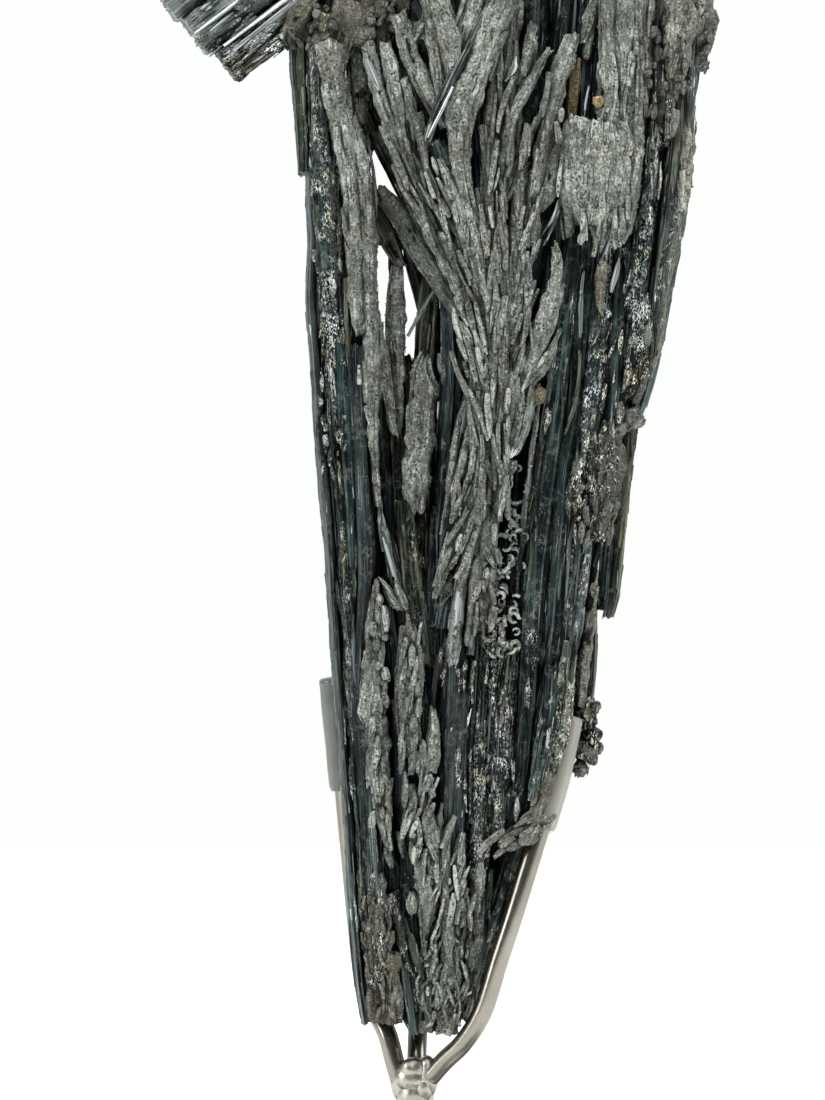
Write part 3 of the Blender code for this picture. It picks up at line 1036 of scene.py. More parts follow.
class Signal:
    """A number worked out by a graph, which can be added, taken away and multiplied."""

    def __init__(self, graph: "Graph", socket: bpy.types.NodeSocket) -> None:
        """Keep the graph and the socket that gives the number."""
        self.graph = graph
        self.socket = socket

    def __add__(self, other: object) -> "Signal":
        """Return this number plus another."""
        return self.graph.math("ADD", self, other)

    def __sub__(self, other: object) -> "Signal":
        """Return this number less another."""
        return self.graph.math("SUBTRACT", self, other)

    def __rsub__(self, other: object) -> "Signal":
        """Return another number less this one."""
        return self.graph.math("SUBTRACT", other, self)

    def __mul__(self, other: object) -> "Signal":
        """Return this number times another."""
        return self.graph.math("MULTIPLY", self, other)

    def __or__(self, other: object) -> "Signal":
        """Return the larger of this number and another."""
        return self.graph.math("MAXIMUM", self, other)


class Graph:
    """A short way to write a node graph."""

    def __init__(self, tree: bpy.types.NodeTree) -> None:
        """Keep the tree that the nodes go in."""
        self.tree = tree

    def node(self, kind: str, inputs: dict | None = None, **settings: object) -> bpy.types.Node:
        """Add a node; inputs may be numbers, colours or sockets to link.

        Args:
            kind: Type of node.
            inputs: Values by socket name: numbers, colours, or sockets to link.
            settings: The node's own settings.

        Returns:
            The new node.
        """
        made = self.tree.nodes.new(kind)
        for name, value in settings.items():
            setattr(made, name, value)
        for name, value in (inputs or {}).items():
            self.plug(live(made.inputs, name), value)
        return made

    def plug(self, socket: bpy.types.NodeSocket, value: object) -> None:
        """Link a socket to an input, or set the input's own value.

        Args:
            socket: The input.
            value: A socket to link, or a plain value.
        """
        if isinstance(value, Signal):
            value = value.socket
        if isinstance(value, bpy.types.NodeSocket):
            self.tree.links.new(value, socket)
        else:
            socket.default_value = value

    def math(self, operation: str, *values: object, clamp: bool = False) -> Signal:
        """Return the result of one sum.

        Args:
            operation: Name of the sum.
            clamp: Whether to hold the result from 0 to 1.
            values: Its inputs, in order.

        Returns:
            The result.
        """
        made = self.node("ShaderNodeMath", operation=operation, use_clamp=clamp)
        for i, value in enumerate(values):
            self.plug(made.inputs[i], value)
        return Signal(self, made.outputs[0])

    def vector(self, operation: str, *values: object) -> bpy.types.NodeSocket:
        """Return the result of one sum of vectors.

        Args:
            operation: Name of the sum.
            values: Its inputs, in order.

        Returns:
            The result.
        """
        made = self.node("ShaderNodeVectorMath", operation=operation)
        for i, value in enumerate(values):
            self.plug(made.inputs[i], value)
        return made.outputs[0]

    def mix(self, factor: object, low: object, high: object,
            blend: str = "MIX") -> bpy.types.NodeSocket:
        """Return a mix of two colours.

        Args:
            factor: 0 for the first colour, 1 for the second.
            low: First colour.
            high: Second colour.
            blend: How they are laid over each other.

        Returns:
            The mixed colour.
        """
        made = self.node("ShaderNodeMix", data_type="RGBA", blend_type=blend, clamp_factor=True)
        self.plug(made.inputs[0], factor)
        for socket, value in ((made.inputs[6], low), (made.inputs[7], high)):
            if isinstance(value, tuple) and len(value) == 3:
                value = (*value, 1.0)
            self.plug(socket, value)
        return made.outputs[2]

    def lerp(self, factor: object, low: object, high: object) -> Signal:
        """Return a mix of two numbers.

        Args:
            factor: 0 for the first number, 1 for the second.
            low: First number.
            high: Second number.

        Returns:
            The mixed number.
        """
        made = self.node("ShaderNodeMix", data_type="FLOAT", clamp_factor=True)
        for i, value in ((0, factor), (2, low), (3, high)):
            self.plug(made.inputs[i], value)
        return Signal(self, made.outputs[0])

    def between(self, value: object, low: float, high: float, start: float = 0.0,
                end: float = 1.0) -> Signal:
        """Return a value carried from one range to another, held inside it.

        Args:
            value: The value.
            low: Start of its range.
            high: End of its range.
            start: What the start becomes.
            end: What the end becomes.

        Returns:
            The new value.
        """
        made = self.node("ShaderNodeMapRange", {
            "Value": value, "From Min": low, "From Max": high, "To Min": start, "To Max": end,
        }, interpolation_type="SMOOTHSTEP")
        return Signal(self, made.outputs["Result"])

    def attribute(self, name: str) -> Signal:
        """Return the number stored on the mesh under a name."""
        return Signal(self, self.node("ShaderNodeAttribute", attribute_name=name).outputs["Fac"])

    def cloud(self, vector: object, scale: float, detail: float = 2.0,
              rough: float = 0.5) -> Signal:
        """Return noise from 0 to 1.

        Args:
            vector: Where it is read.
            scale: Cells to a unit.
            detail: Finer layers.
            rough: How strong the finer layers are.

        Returns:
            The noise.
        """
        made = self.node("ShaderNodeTexNoise", {
            "Vector": vector, "Scale": scale, "Detail": detail, "Roughness": rough,
        }, noise_dimensions="3D")
        return Signal(self, made.outputs["Fac"])

    def threads(self, grain: object, across: float, along: float, detail: float,
                rough: float) -> Signal:
        """Return noise drawn out along the grain, with its cells to the metre each way."""
        return self.cloud(self.vector("MULTIPLY", grain, (across, along, 1.0)), 1.0, detail, rough)

    def cells(self, vector: object, scale: float) -> bpy.types.Node:
        """Return a Voronoi node."""
        return self.node("ShaderNodeTexVoronoi", {"Vector": vector, "Scale": scale}, feature="F1")


class Group(Graph):
    """A shader node group under construction."""

    def __init__(self, name: str, inputs: dict[str, str], outputs: dict[str, str]) -> None:
        """Make the tree with its named inputs and outputs.

        Args:
            name: Name of the group.
            inputs: Kind of socket by name.
            outputs: Kind of socket by name.
        """
        tree = bpy.data.node_groups.new(name, "ShaderNodeTree")
        for way, sockets in (("INPUT", inputs), ("OUTPUT", outputs)):
            for title, kind in sockets.items():
                tree.interface.new_socket(title, in_out=way, socket_type=kind)
        super().__init__(tree)
        self.given = tree.nodes.new("NodeGroupInput").outputs
        self.result = tree.nodes.new("NodeGroupOutput").inputs


FLOAT = "NodeSocketFloat"
COLOUR = "NodeSocketColor"
VECTOR = "NodeSocketVector"


@dataclass(frozen=True)
class GrainSizes:
    """Cells to the metre, across and along the grain, of the marks too fine for the mesh."""

    broad: tuple[float, float] = (420.0, 9.0)
    fine: tuple[float, float] = (1300.0, 22.0)
    hair: tuple[float, float] = (3000.0, 50.0)
    fibre: tuple[float, float] = (1150.0, 85.0)
    crack: tuple[float, float] = (520.0, 26.0)
    slit: tuple[float, float] = (1250.0, 130.0)
    facet: tuple[float, float] = (4300.0, 1700.0)
    slab: tuple[float, float] = (700.0, 42.0)


@dataclass(frozen=True)
class PowderLook:
    """Linear colours of the grey coat and its stain, and cells to the metre of its clouds."""

    dark: tuple = (0.036, 0.040, 0.035)
    middle: tuple = (0.116, 0.124, 0.108)
    pale: tuple = (0.340, 0.364, 0.326)
    warm_cast: tuple = (1.05, 0.95, 0.84)
    gap: tuple = (0.016, 0.017, 0.015)
    ochre: tuple = ((0.10, 0.070, 0.032), (0.30, 0.225, 0.11))
    brown: tuple = ((0.022, 0.015, 0.008), (0.125, 0.088, 0.046))
    clots: float = 400.0
    grains: float = 1500.0
    tint: float = 75.0
    rust: float = 140.0
    pits: float = 800.0
    pit_crowds: float = 210.0
    slit_crowds: float = 160.0


GRAIN = GrainSizes()
POWDER = PowderLook()


def striation_group() -> bpy.types.NodeTree:
    """Fine lengthwise grooves of a stibnite face: height, and a streak mask.

    Returns:
        The group's tree.
    """
    group = Group("Striation", {"Grain": VECTOR}, {"Height": FLOAT, "Streak": FLOAT, "Hair": FLOAT})
    grain = group.given["Grain"]
    broad = group.threads(grain, *GRAIN.broad, 2.0, 0.6)
    fine = group.threads(grain, *GRAIN.fine, 2.0, 0.7)
    hair = group.threads(grain, *GRAIN.hair, 1.0, 0.5)
    group.plug(group.result["Height"], broad + fine * 0.8 + hair * 0.3)
    group.plug(group.result["Streak"], group.between(broad * 0.4 + fine * 0.6, 0.44, 0.60))
    group.plug(group.result["Hair"], group.between(hair, 0.60, 0.72))
    return group.tree


def powder_group() -> bpy.types.NodeTree:
    """The grey mineral coat: colour, height and how much of it there is.

    Returns:
        The group's tree.
    """
    group = Group("Powder", {"Place": VECTOR, "Grain": VECTOR, "Coat": FLOAT, "Stain": FLOAT,
                             "Tone": FLOAT},
                  {"Color": COLOUR, "Height": FLOAT, "Cover": FLOAT})
    place, grain = group.given["Place"], group.given["Grain"]
    coat, stain, tone = (Signal(group, group.given[name]) for name in ("Coat", "Stain", "Tone"))
    clots = group.cloud(place, POWDER.clots, 3.0, 0.6)
    grains = group.cloud(place, POWDER.grains, 2.0, 0.6)
    tint = group.cloud(place, POWDER.tint, 2.0, 0.5)
    fibre = group.threads(grain, *GRAIN.fibre, 3.0, 0.62)

    # Dark, middle and pale grey, then a warm cast here and there.
    light = clots * 0.36 + grains * 0.44 + fibre * 0.20
    light = light + (0.5 - tone) * 0.16 + (tint - 0.5) * 0.22
    grey = group.mix(group.between(light, 0.37, 0.49), POWDER.dark, POWDER.middle)
    grey = group.mix(group.between(light, 0.49, 0.62), grey, POWDER.pale)
    rust = group.cloud(place, POWDER.rust, 3.0, 0.6)
    warm = group.mix(1.0, grey, POWDER.warm_cast, "MULTIPLY")
    grey = group.mix(group.between(rust, 0.54, 0.68, 0.0, 0.6), grey, warm)

    # Dark cracks along the grain, pits and slits.
    gap = group.math("ABSOLUTE", group.threads(grain, *GRAIN.crack, 2.0, 0.55) - 0.5)
    crack = group.between(gap, 0.022, 0.006) * group.between(clots, 0.44, 0.54)
    slits = (group.between(group.threads(grain, *GRAIN.slit, 1.0, 0.5), 0.655, 0.70)
             * group.between(group.cloud(place, POWDER.slit_crowds, 1.0), 0.42, 0.56))
    pits = (group.between(group.cells(place, POWDER.pits).outputs["Distance"], 0.38, 0.24)
            * group.between(group.cloud(place, POWDER.pit_crowds, 1.0), 0.48, 0.58))
    dark = crack | pits | slits
    grey = group.mix(dark * 0.88, grey, POWDER.gap)

    # Ochre stain: bright on a light tone, brown on a dark one.
    ochre = group.mix(group.between(grains, 0.35, 0.65), *POWDER.ochre)
    brown = group.mix(group.between(grains, 0.3, 0.7), *POWDER.brown)
    group.plug(group.result["Color"], group.mix(stain, grey, group.mix(tone, ochre, brown)))
    group.plug(group.result["Height"], grains * 0.95 + clots + fibre * 0.35 - dark * 0.6)
    wear = grains * 0.5 + clots * 0.5
    group.plug(group.result["Cover"], group.between(coat * 1.3 - wear, 0.08, 0.24))
    return group.tree


def glitter_group() -> bpy.types.NodeTree:
    """Flat facets that each face their own way: long ones everywhere, small ones where etched.

    Returns:
        The group's tree.
    """
    group = Group("Glitter", {"Grain": VECTOR, "Amount": FLOAT},
                  {"Tilt": VECTOR, "Facet": FLOAT, "Slab": FLOAT})
    grain = group.given["Grain"]
    small = group.cells(group.vector("MULTIPLY", grain, (*GRAIN.facet, 1.0)), 1.0)
    long = group.cells(group.vector("MULTIPLY", grain, (*GRAIN.slab, 1.0)), 1.0)

    def turned(cell: bpy.types.Node, amount: object) -> bpy.types.NodeSocket:
        """Return a random tilt for each cell.

        Args:
            cell: A Voronoi node.
            amount: How far the cells lean.

        Returns:
            The tilt to add to the normal.
        """
        turn = group.vector("SUBTRACT", cell.outputs["Color"], (0.5, 0.5, 0.5))
        return group.node("ShaderNodeVectorMath", {"Vector": turn, "Scale": amount},
                          operation="SCALE").outputs[0]

    amount = Signal(group, group.given["Amount"])
    group.plug(group.result["Tilt"], group.vector("ADD", turned(small, amount * 1.1),
                                                  turned(long, 0.38)))
    for cell, result in ((small, "Facet"), (long, "Slab")):
        parts = group.node("ShaderNodeSeparateColor")
        group.plug(parts.inputs[0], cell.outputs["Color"])
        group.plug(group.result[result], parts.outputs[0])
    return group.tree


def start_finish(name: str) -> tuple[bpy.types.Material, Graph, bpy.types.Node]:
    """Make a node material and return it with its graph and its shader.

    Args:
        name: Name of the material.

    Returns:
        The material, its graph and its shader node.
    """
    finish = bpy.data.materials.new(name)
    finish.use_nodes = True
    return finish, Graph(finish.node_tree), finish.node_tree.nodes["Principled BSDF"]


@dataclass(frozen=True)
class StibniteFinish:
    """Dark metallic sulphide with grooves, painted glints where etched, and a grey mineral coat.

    Sizes are in metres, colours are linear.
    """

    name: str = "stibnite"
    navy: tuple = (0.005, 0.010, 0.012)
    olive: tuple = (0.020, 0.022, 0.012)
    moss: tuple = (0.085, 0.090, 0.055)
    teal: tuple = (0.030, 0.064, 0.062)
    # Pale steel: the colour of the hairs, and of painted sheen.
    steel: tuple = (0.44, 0.49, 0.49)
    # Next three: gold and pale for painted glints, and near black for painted shade on dark facets.
    gold: tuple = (0.52, 0.49, 0.37)
    spark: tuple = (0.62, 0.66, 0.63)
    hollow: tuple = (0.004, 0.005, 0.006)
    # Silver: a painted highlight on the strongest sheen.
    silver: tuple = (0.80, 0.85, 0.87)
    film: tuple = (0.060, 0.064, 0.050)
    dust: tuple = (0.24, 0.25, 0.22)
    dim_slab: tuple = (0.24, 0.24, 0.24)
    bright_slab: tuple = (1.8, 1.8, 1.8)
    metallic: float = 0.72
    specular: float = 0.35
    roughness: float = 0.30
    dull_roughness: float = 0.86
    groove: float = 0.00022

    def build(self) -> bpy.types.Material:
        """Return the node material.

        Returns:
            The material.
        """
        finish, g, shader = start_finish(self.name)
        grain = g.node("ShaderNodeUVMap", uv_map="grain").outputs["UV"]
        place = g.node("ShaderNodeTexCoord").outputs["Object"]
        coat, etch, stain, tone, shine, blue = (g.attribute(mark) for mark in MARKS[:6])
        lines = g.node("ShaderNodeGroup", {"Grain": grain}, node_tree=striation_group())
        powder = g.node("ShaderNodeGroup", {
            "Place": place, "Grain": grain, "Coat": coat, "Stain": stain, "Tone": tone,
        }, node_tree=powder_group())
        cover = Signal(g, powder.outputs["Cover"])
        etched = etch * (1.0 - cover)
        glitter = g.node("ShaderNodeGroup", {"Grain": grain, "Amount": etched},
                         node_tree=glitter_group())
        slab, facet = (Signal(g, glitter.outputs[name]) for name in ("Slab", "Facet"))
        streak, hair = (Signal(g, lines.outputs[name]) for name in ("Streak", "Hair"))
        patches = g.cloud(place, 130.0, 3.0, 0.6)
        mottle = g.cloud(place, 640.0, 3.0, 0.65)

        # Bare faces: navy to olive, with teal streaks, steel hairs and slabs of their own shade.
        bare = g.mix(g.between(tone + patches * 0.5, 0.55, 0.95), self.navy, self.olive)
        strength = (blue * 0.65 + 0.35) * g.between(patches, 0.36, 0.60, 0.35, 1.0)
        bare = g.mix(strength * streak, bare, self.teal)
        bare = g.mix(hair * 0.30, bare, self.steel)
        mossy = g.between(slab, 0.60, 0.80) * g.between(tone, 0.3, 1.0, 0.05, 0.7)
        bare = g.mix(mossy, bare, self.moss)
        shades = g.mix(g.between(slab, 0.1, 0.9), self.dim_slab, self.bright_slab)
        bare = g.mix(1.0, bare, shades, "MULTIPLY")

        # A thin dull film, and painted sheen of steel and silver on the faces that have none.
        film = g.between(mottle, 0.49, 0.60) * g.between(patches, 0.48, 0.62, 0.06, 0.85)
        film = film * (1.0 - shine)
        bare = g.mix(film, bare, self.film)
        flecks = (g.between(g.cells(place, 1500.0).outputs["Distance"], 0.30, 0.18)
                  * g.between(g.cloud(place, 420.0, 2.0), 0.50, 0.62))
        bright = shine * (streak * 0.65 + 0.35)
        bare = g.mix(bright, bare, self.steel)
        bare = g.mix(g.between(shine, 0.82, 1.0) * g.between(streak, 0.1, 0.7), bare, self.silver)

        # Etched zones: painted glints in crowds, painted facet shade between, specks of dust.
        crowd = g.between(g.cloud(place, 220.0, 3.0, 0.6), 0.42, 0.60)
        lit = etched * g.between(facet + crowd * 0.34, 0.80, 1.14)
        sunk = etched * g.between(facet, 0.50, 0.30)
        bare = g.mix(sunk * 0.7, bare, self.hollow)
        metal = g.mix(g.between(g.cloud(place, 160.0, 2.0), 0.46, 0.60), self.spark, self.gold)
        bare = g.mix(lit * 0.95, bare, metal)
        bare = g.mix(flecks * 0.55, bare, self.dust)

        # The coat over all of it, then painted shade: darker where the open mark is low.
        colour = g.mix(cover, bare, powder.outputs["Color"])
        shade = g.between(g.attribute("open"), 0.10, 0.75, 0.12, 1.0)
        colour = g.mix(1.0, colour, g.mix(shade, (0.0, 0.0, 0.0), (1.0, 1.0, 1.0)), "MULTIPLY")
        # Painted glints and sheen turn dull and unmetallic so that their pale colour reads as light.
        dull = (cover | flecks | film * 0.8) | (lit | bright) * 0.6
        g.plug(shader.inputs["Base Color"], colour)
        g.plug(shader.inputs["Metallic"], g.lerp(dull, self.metallic, 0.0))
        g.plug(shader.inputs["Roughness"],
               g.lerp(dull, patches * 0.12 + self.roughness, self.dull_roughness))
        shader.inputs["Specular IOR Level"].default_value = self.specular

        thread = Signal(g, lines.outputs["Height"]) + film * 0.5
        height = g.lerp(cover, thread, Signal(g, powder.outputs["Height"]) * 1.5)
        bump = g.node("ShaderNodeBump", {"Strength": 1.0, "Distance": self.groove,
                                         "Height": height})
        tilted = g.vector("ADD", bump.outputs["Normal"], glitter.outputs["Tilt"])
        g.plug(shader.inputs["Normal"], g.vector("NORMALIZE", tilted))
        return finish


@dataclass(frozen=True)
class MetalFinish:
    """Plain steel: a colour, how rough it is, and the size of its fine marks.

    `scratch` is in marks to the metre each way, and `depth` in metres.
    """

    name: str
    colour: tuple
    roughness: float
    spread: float
    scratch: tuple[float, float, float]
    depth: float
    darkest: float = 0.72

    def build(self) -> bpy.types.Material:
        """Return the node material.

        Returns:
            The material.
        """
        finish, g, shader = start_finish(self.name)
        place = g.node("ShaderNodeTexCoord").outputs["Object"]
        marks = g.cloud(g.vector("MULTIPLY", place, self.scratch), 1.0, 3.0, 0.6)
        smudge = g.cloud(place, 45.0, 3.0, 0.6)
        dark = tuple(self.darkest * part for part in self.colour)
        g.plug(shader.inputs["Base Color"], g.mix(g.between(smudge, 0.3, 0.7), self.colour, dark))
        shader.inputs["Metallic"].default_value = 1.0
        g.plug(shader.inputs["Roughness"], marks * self.spread + self.roughness)
        bump = g.node("ShaderNodeBump", {"Strength": 0.5, "Distance": self.depth, "Height": marks})
        g.plug(shader.inputs["Normal"], bump.outputs["Normal"])
        return finish


@dataclass(frozen=True)
class VinylFinish:
    """Soft clear sleeve, a little clouded. `clear` is the share of light it lets through."""

    name: str
    tint: tuple
    clear: float
    roughness: float = 0.16
    ior: float = 1.4
    dent: float = 0.0001

    def build(self) -> bpy.types.Material:
        """Return the node material.

        Returns:
            The material.
        """
        finish, g, shader = start_finish(self.name)
        place = g.node("ShaderNodeTexCoord").outputs["Object"]
        haze = g.cloud(place, 90.0, 1.0, 0.5)
        pale = tuple(min(1.0, part * 1.12) for part in self.tint)
        g.plug(shader.inputs["Base Color"], g.mix(haze, self.tint, pale))
        g.plug(shader.inputs["Roughness"], haze * 0.06 + self.roughness)
        shader.inputs["Transmission Weight"].default_value = self.clear
        shader.inputs["IOR"].default_value = self.ior
        bump = g.node("ShaderNodeBump", {"Strength": 0.1, "Distance": self.dent,
                                         "Height": g.cloud(place, 60.0, 0.0)})
        g.plug(shader.inputs["Normal"], bump.outputs["Normal"])
        return finish


# ---------------------------------------------------------------------------------------------
# Small crystals strewn over the large ones
# ---------------------------------------------------------------------------------------------

# How far the foot of a strewn crystal keeps from the rods in mm, how many make it worth a piece,
# how open a point must be for none and for all of them, and square centimetres to a square metre.
STREW_CLEAR = 3.0
FEWEST_STREWN = 4.0
STREW_OPEN = (0.12, 0.5)
PER_SQUARE_METRE = 1e4


def read(items: object, what: str, size: int = 1, kind: type = np.float32) -> np.ndarray:
    """Read one property of every item of a mesh.

    Args:
        items: Vertices, faces, corners or attribute values.
        what: Name of the property.
        size: Numbers to an item.
        kind: Kind of number.

    Returns:
        The numbers in one row.
    """
    values = np.empty(len(items) * size, dtype=kind)
    items.foreach_get(what, values)
    return values


@dataclass(frozen=True)
class Strewing:
    """Small crystals strewn over a piece by a node tree and laid along its grain.

    Widths and lengths are in mm, density in crystals per square centimetre, tilt in degrees.
    """

    name: str
    mark: str
    density: float
    width: tuple[float, float]
    length: tuple[float, float]
    flat: float
    tilt: float
    taper: float
    bright: float
    most: int
    sides: int = 3
    tone_spread: float = 0.3
    glint: float = 0.8

    INPUTS = (("Density", FLOAT), ("Seed", "NodeSocketInt"), ("Thinnest", FLOAT),
              ("Widest", FLOAT), ("Shortest", FLOAT), ("Longest", FLOAT), ("Tilt", FLOAT),
              ("Material", "NodeSocketMaterial"))

    def _tree(self) -> bpy.types.NodeTree:
        """Build the node tree: points on faces, prisms on the points, made real.

        Returns:
            The tree, with the INPUTS as its named inputs.
        """
        tree = bpy.data.node_groups.new(f"strew_{self.name}", "GeometryNodeTree")
        tree.interface.new_socket("Geometry", in_out="INPUT", socket_type="NodeSocketGeometry")
        for title, kind in self.INPUTS:
            tree.interface.new_socket(title, in_out="INPUT", socket_type=kind)
        tree.interface.new_socket("Geometry", in_out="OUTPUT", socket_type="NodeSocketGeometry")
        g = Graph(tree)
        given = tree.nodes.new("NodeGroupInput").outputs
        result = tree.nodes.new("NodeGroupOutput").inputs

        def stored(name: str, kind: str = "FLOAT") -> Signal:
            """Return an attribute of the mesh."""
            made = g.node("GeometryNodeInputNamedAttribute", {"Name": name}, data_type=kind)
            return Signal(g, made.outputs["Attribute"])

        def chance(low: object, high: object, seed: int,
                   kind: str = "FLOAT") -> Signal:
            """Return a random value for each point.

            Args:
                low: Least.
                high: Most.
                seed: Tells draws apart.
                kind: Kind of value.

            Returns:
                The value.
            """
            made = g.node("FunctionNodeRandomValue", {"Min": low, "Max": high, "Seed": seed},
                          data_type=kind)
            return Signal(g, live(made.outputs, "Value"))

        spread = g.node("GeometryNodeDistributePointsOnFaces", {
            "Mesh": given["Geometry"], "Seed": given["Seed"],
            "Density": stored("room") * given["Density"]})
        points = spread.outputs["Points"]
        tone = stored("tone") + chance(-self.tone_spread, self.tone_spread, 11)
        # A few strewn crystals get painted sheen, standing in for glints.
        glint = g.math("LESS_THAN", chance(0.0, 1.0, 12), self.bright) * self.glint
        for name, value in (("tone", tone), ("shine", stored("shine") + glint)):
            points = g.node("GeometryNodeStoreNamedAttribute", {
                "Geometry": points, "Name": name, "Value": g.math("ADD", value, 0.0, clamp=True)},
                data_type="FLOAT", domain="POINT").outputs["Geometry"]
        laid = g.node("FunctionNodeAxesToRotation", {
            "Primary Axis": stored("along", "FLOAT_VECTOR"),
            "Secondary Axis": spread.outputs["Normal"]}, primary_axis="Z", secondary_axis="X")
        lean = g.node("ShaderNodeCombineXYZ", {
            "X": given["Tilt"], "Y": given["Tilt"],
            "Z": Signal(g, given["Tilt"]) * 2.0}).outputs[0]
        back = g.vector("MULTIPLY", lean, (-1.0, -1.0, -1.0))
        nudge = g.node("FunctionNodeEulerToRotation", {
            "Euler": chance(back, lean, 13, "FLOAT_VECTOR")})
        turned = g.node("FunctionNodeRotateRotation", {
            "Rotation": laid.outputs[0], "Rotate By": nudge.outputs[0]}, rotation_space="LOCAL")
        width = chance(given["Thinnest"], given["Widest"], 14)
        length = chance(given["Shortest"], given["Longest"], 15)
        size = g.node("ShaderNodeCombineXYZ", {
            "X": width * self.flat, "Y": width, "Z": length}).outputs[0]
        prism = g.node("GeometryNodeMeshCone", {
            "Vertices": self.sides, "Radius Top": 0.5 * self.taper, "Radius Bottom": 0.5,
            "Depth": 1.0}, fill_type="NGON").outputs["Mesh"]
        middle = g.node("GeometryNodeTransform", {"Geometry": prism,
                                                  "Translation": (0.0, 0.0, -0.5)})
        placed = g.node("GeometryNodeInstanceOnPoints", {
            "Points": points, "Instance": middle.outputs[0], "Rotation": turned.outputs[0],
            "Scale": size})
        real = g.node("GeometryNodeRealizeInstances", {"Geometry": placed.outputs[0]})
        mapped = g.node("GeometryNodeStoreNamedAttribute", {
            "Geometry": real.outputs[0], "Name": "grain",
            "Value": stored("grain", "FLOAT_VECTOR")}, data_type="FLOAT2", domain="CORNER")
        flat = g.node("GeometryNodeSetShadeSmooth", {"Geometry": mapped.outputs[0],
                                                     "Shade Smooth": False})
        dressed = g.node("GeometryNodeSetMaterial", {"Geometry": flat.outputs[0],
                                                     "Material": given["Material"]})
        g.plug(result["Geometry"], dressed.outputs[0])
        return tree

    def _room(self, mesh: bpy.types.Mesh, rods: tuple[Rod, ...]) -> np.ndarray:
        """Return how much each point takes part: its own mark, where open and clear of the rods.

        Args:
            mesh: The piece's mesh, with its marks.
            rods: What the small crystals keep clear of.

        Returns:
            A share from 0 to 1 for each point.
        """
        count = len(mesh.vertices)
        places = read(mesh.vertices, "co", 3).reshape(-1, 3) / MM
        clear = np.ones(count)
        for rod in rods:
            pushed = replace(rod, radius=rod.radius + STREW_CLEAR).push(places)
            clear[(pushed != places).any(axis=1)] = 0.0
        marks = {name: read(mesh.attributes[name].data, "value") for name in MARKS}
        normals = read(mesh.vertex_normals, "vector", 3)
        front = 0.4 + 0.6 * ramp(-normals.reshape(-1, 3)[:, 1], -0.5, 0.1)
        own = {"coat": marks["coat"], "etch": marks["etch"] * (1.0 - marks["coat"]),
               "bare": (1.0 - marks["coat"]) * (1.0 - 0.6 * marks["etch"])}[self.mark]
        return own * ramp(marks["open"], *STREW_OPEN) * front * (1.0 - marks["plain"]) * clear

    def build(self, piece: bpy.types.Object, finish: bpy.types.Material, seed: int,
              rods: tuple[Rod, ...]) -> None:
        """Strew the crystals over a piece, clear of the rods, and make them a piece.

        Args:
            piece: What they lie on.
            finish: Their material.
            seed: Sets where they fall.
            rods: What they keep clear of.
        """
        base = piece.data.copy()
        room = self._room(base, rods)
        base.attributes.new("room", "FLOAT", "POINT").data.foreach_set(
            "value", room.astype(np.float32))
        areas = read(base.polygons, "area")
        corner = read(base.loops, "vertex_index", kind=np.int32)
        firsts = read(base.polygons, "loop_start", kind=np.int32)
        wanted = float((areas * room[corner[firsts]]).sum()) * self.density * PER_SQUARE_METRE
        density = self.density * PER_SQUARE_METRE * min(1.0, self.most / max(wanted, 1.0))
        if wanted < FEWEST_STREWN:
            bpy.data.meshes.remove(base)
            return
        ground = bpy.data.objects.new("ground", base)
        bpy.context.scene.collection.objects.link(ground)
        tree = self._tree()
        modifier = ground.modifiers.new("strew", "NODES")
        modifier.node_group = tree
        values = (density, seed, self.width[0] * MM, self.width[1] * MM, self.length[0] * MM,
                  self.length[1] * MM, float(np.radians(self.tilt)), finish)
        for (title, _), value in zip(self.INPUTS, values):
            modifier[tree.interface.items_tree[title].identifier] = value
        graph = bpy.context.evaluated_depsgraph_get()
        made = bpy.data.meshes.new_from_object(ground.evaluated_get(graph))
        ground.modifiers.clear()
        bpy.data.objects.remove(ground)
        bpy.data.meshes.remove(base)
        strewn = linked(f"{piece.name}_{self.name}", made, finish)
        declare(strewn, "stibnite", "crystal_cluster")


# ---------------------------------------------------------------------------------------------
# Stand
# ---------------------------------------------------------------------------------------------

# Middle lines of the bent rods, from the weld up, and the sizes of rods and sleeves, all in mm.
LEFT_ROUTE = (
    (-4.3, -0.4, 62.0), (-6.3, 0.4, 69.0), (-8.4, 2.0, 76.5), (-12.2, 6.5, 83.5),
    (-15.6, 10.5, 92.0), (-17.6, 12.0, 108.0), (-19.6, 12.4, 129.0), (-21.8, 12.2, 153.0),
    (-24.6, 11.2, 182.0),
)
RIGHT_ROUTE = (
    (4.2, -3.0, 64.0), (9.0, -5.2, 69.8), (14.6, -8.2, 75.8), (20.2, -10.6, 85.6),
    (24.8, -11.4, 100.5), (28.7, -11.4, 112.4), (32.4, -10.8, 124.2), (36.5, -9.6, 137.5),
    (41.4, -8.0, 153.6), (45.4, -6.6, 171.4),
)
BACK_ROUTE = (
    (0.6, 4.8, 63.0), (0.6, 6.2, 70.0), (1.0, 11.0, 78.0), (2.0, 18.0, 90.0),
    (3.4, 22.4, 106.0), (5.2, 24.6, 128.0), (7.2, 25.2, 152.0), (9.4, 25.0, 176.0),
)
ROD_RADIUS = 3.0
SLEEVE_WALL = 1.3
SLEEVE_LENGTH = 33.0
SLEEVE_CAP = 1.2
GAP = 0.3
ROD_CLEAR = 0.25
SLEEVE_CLEAR = 0.5


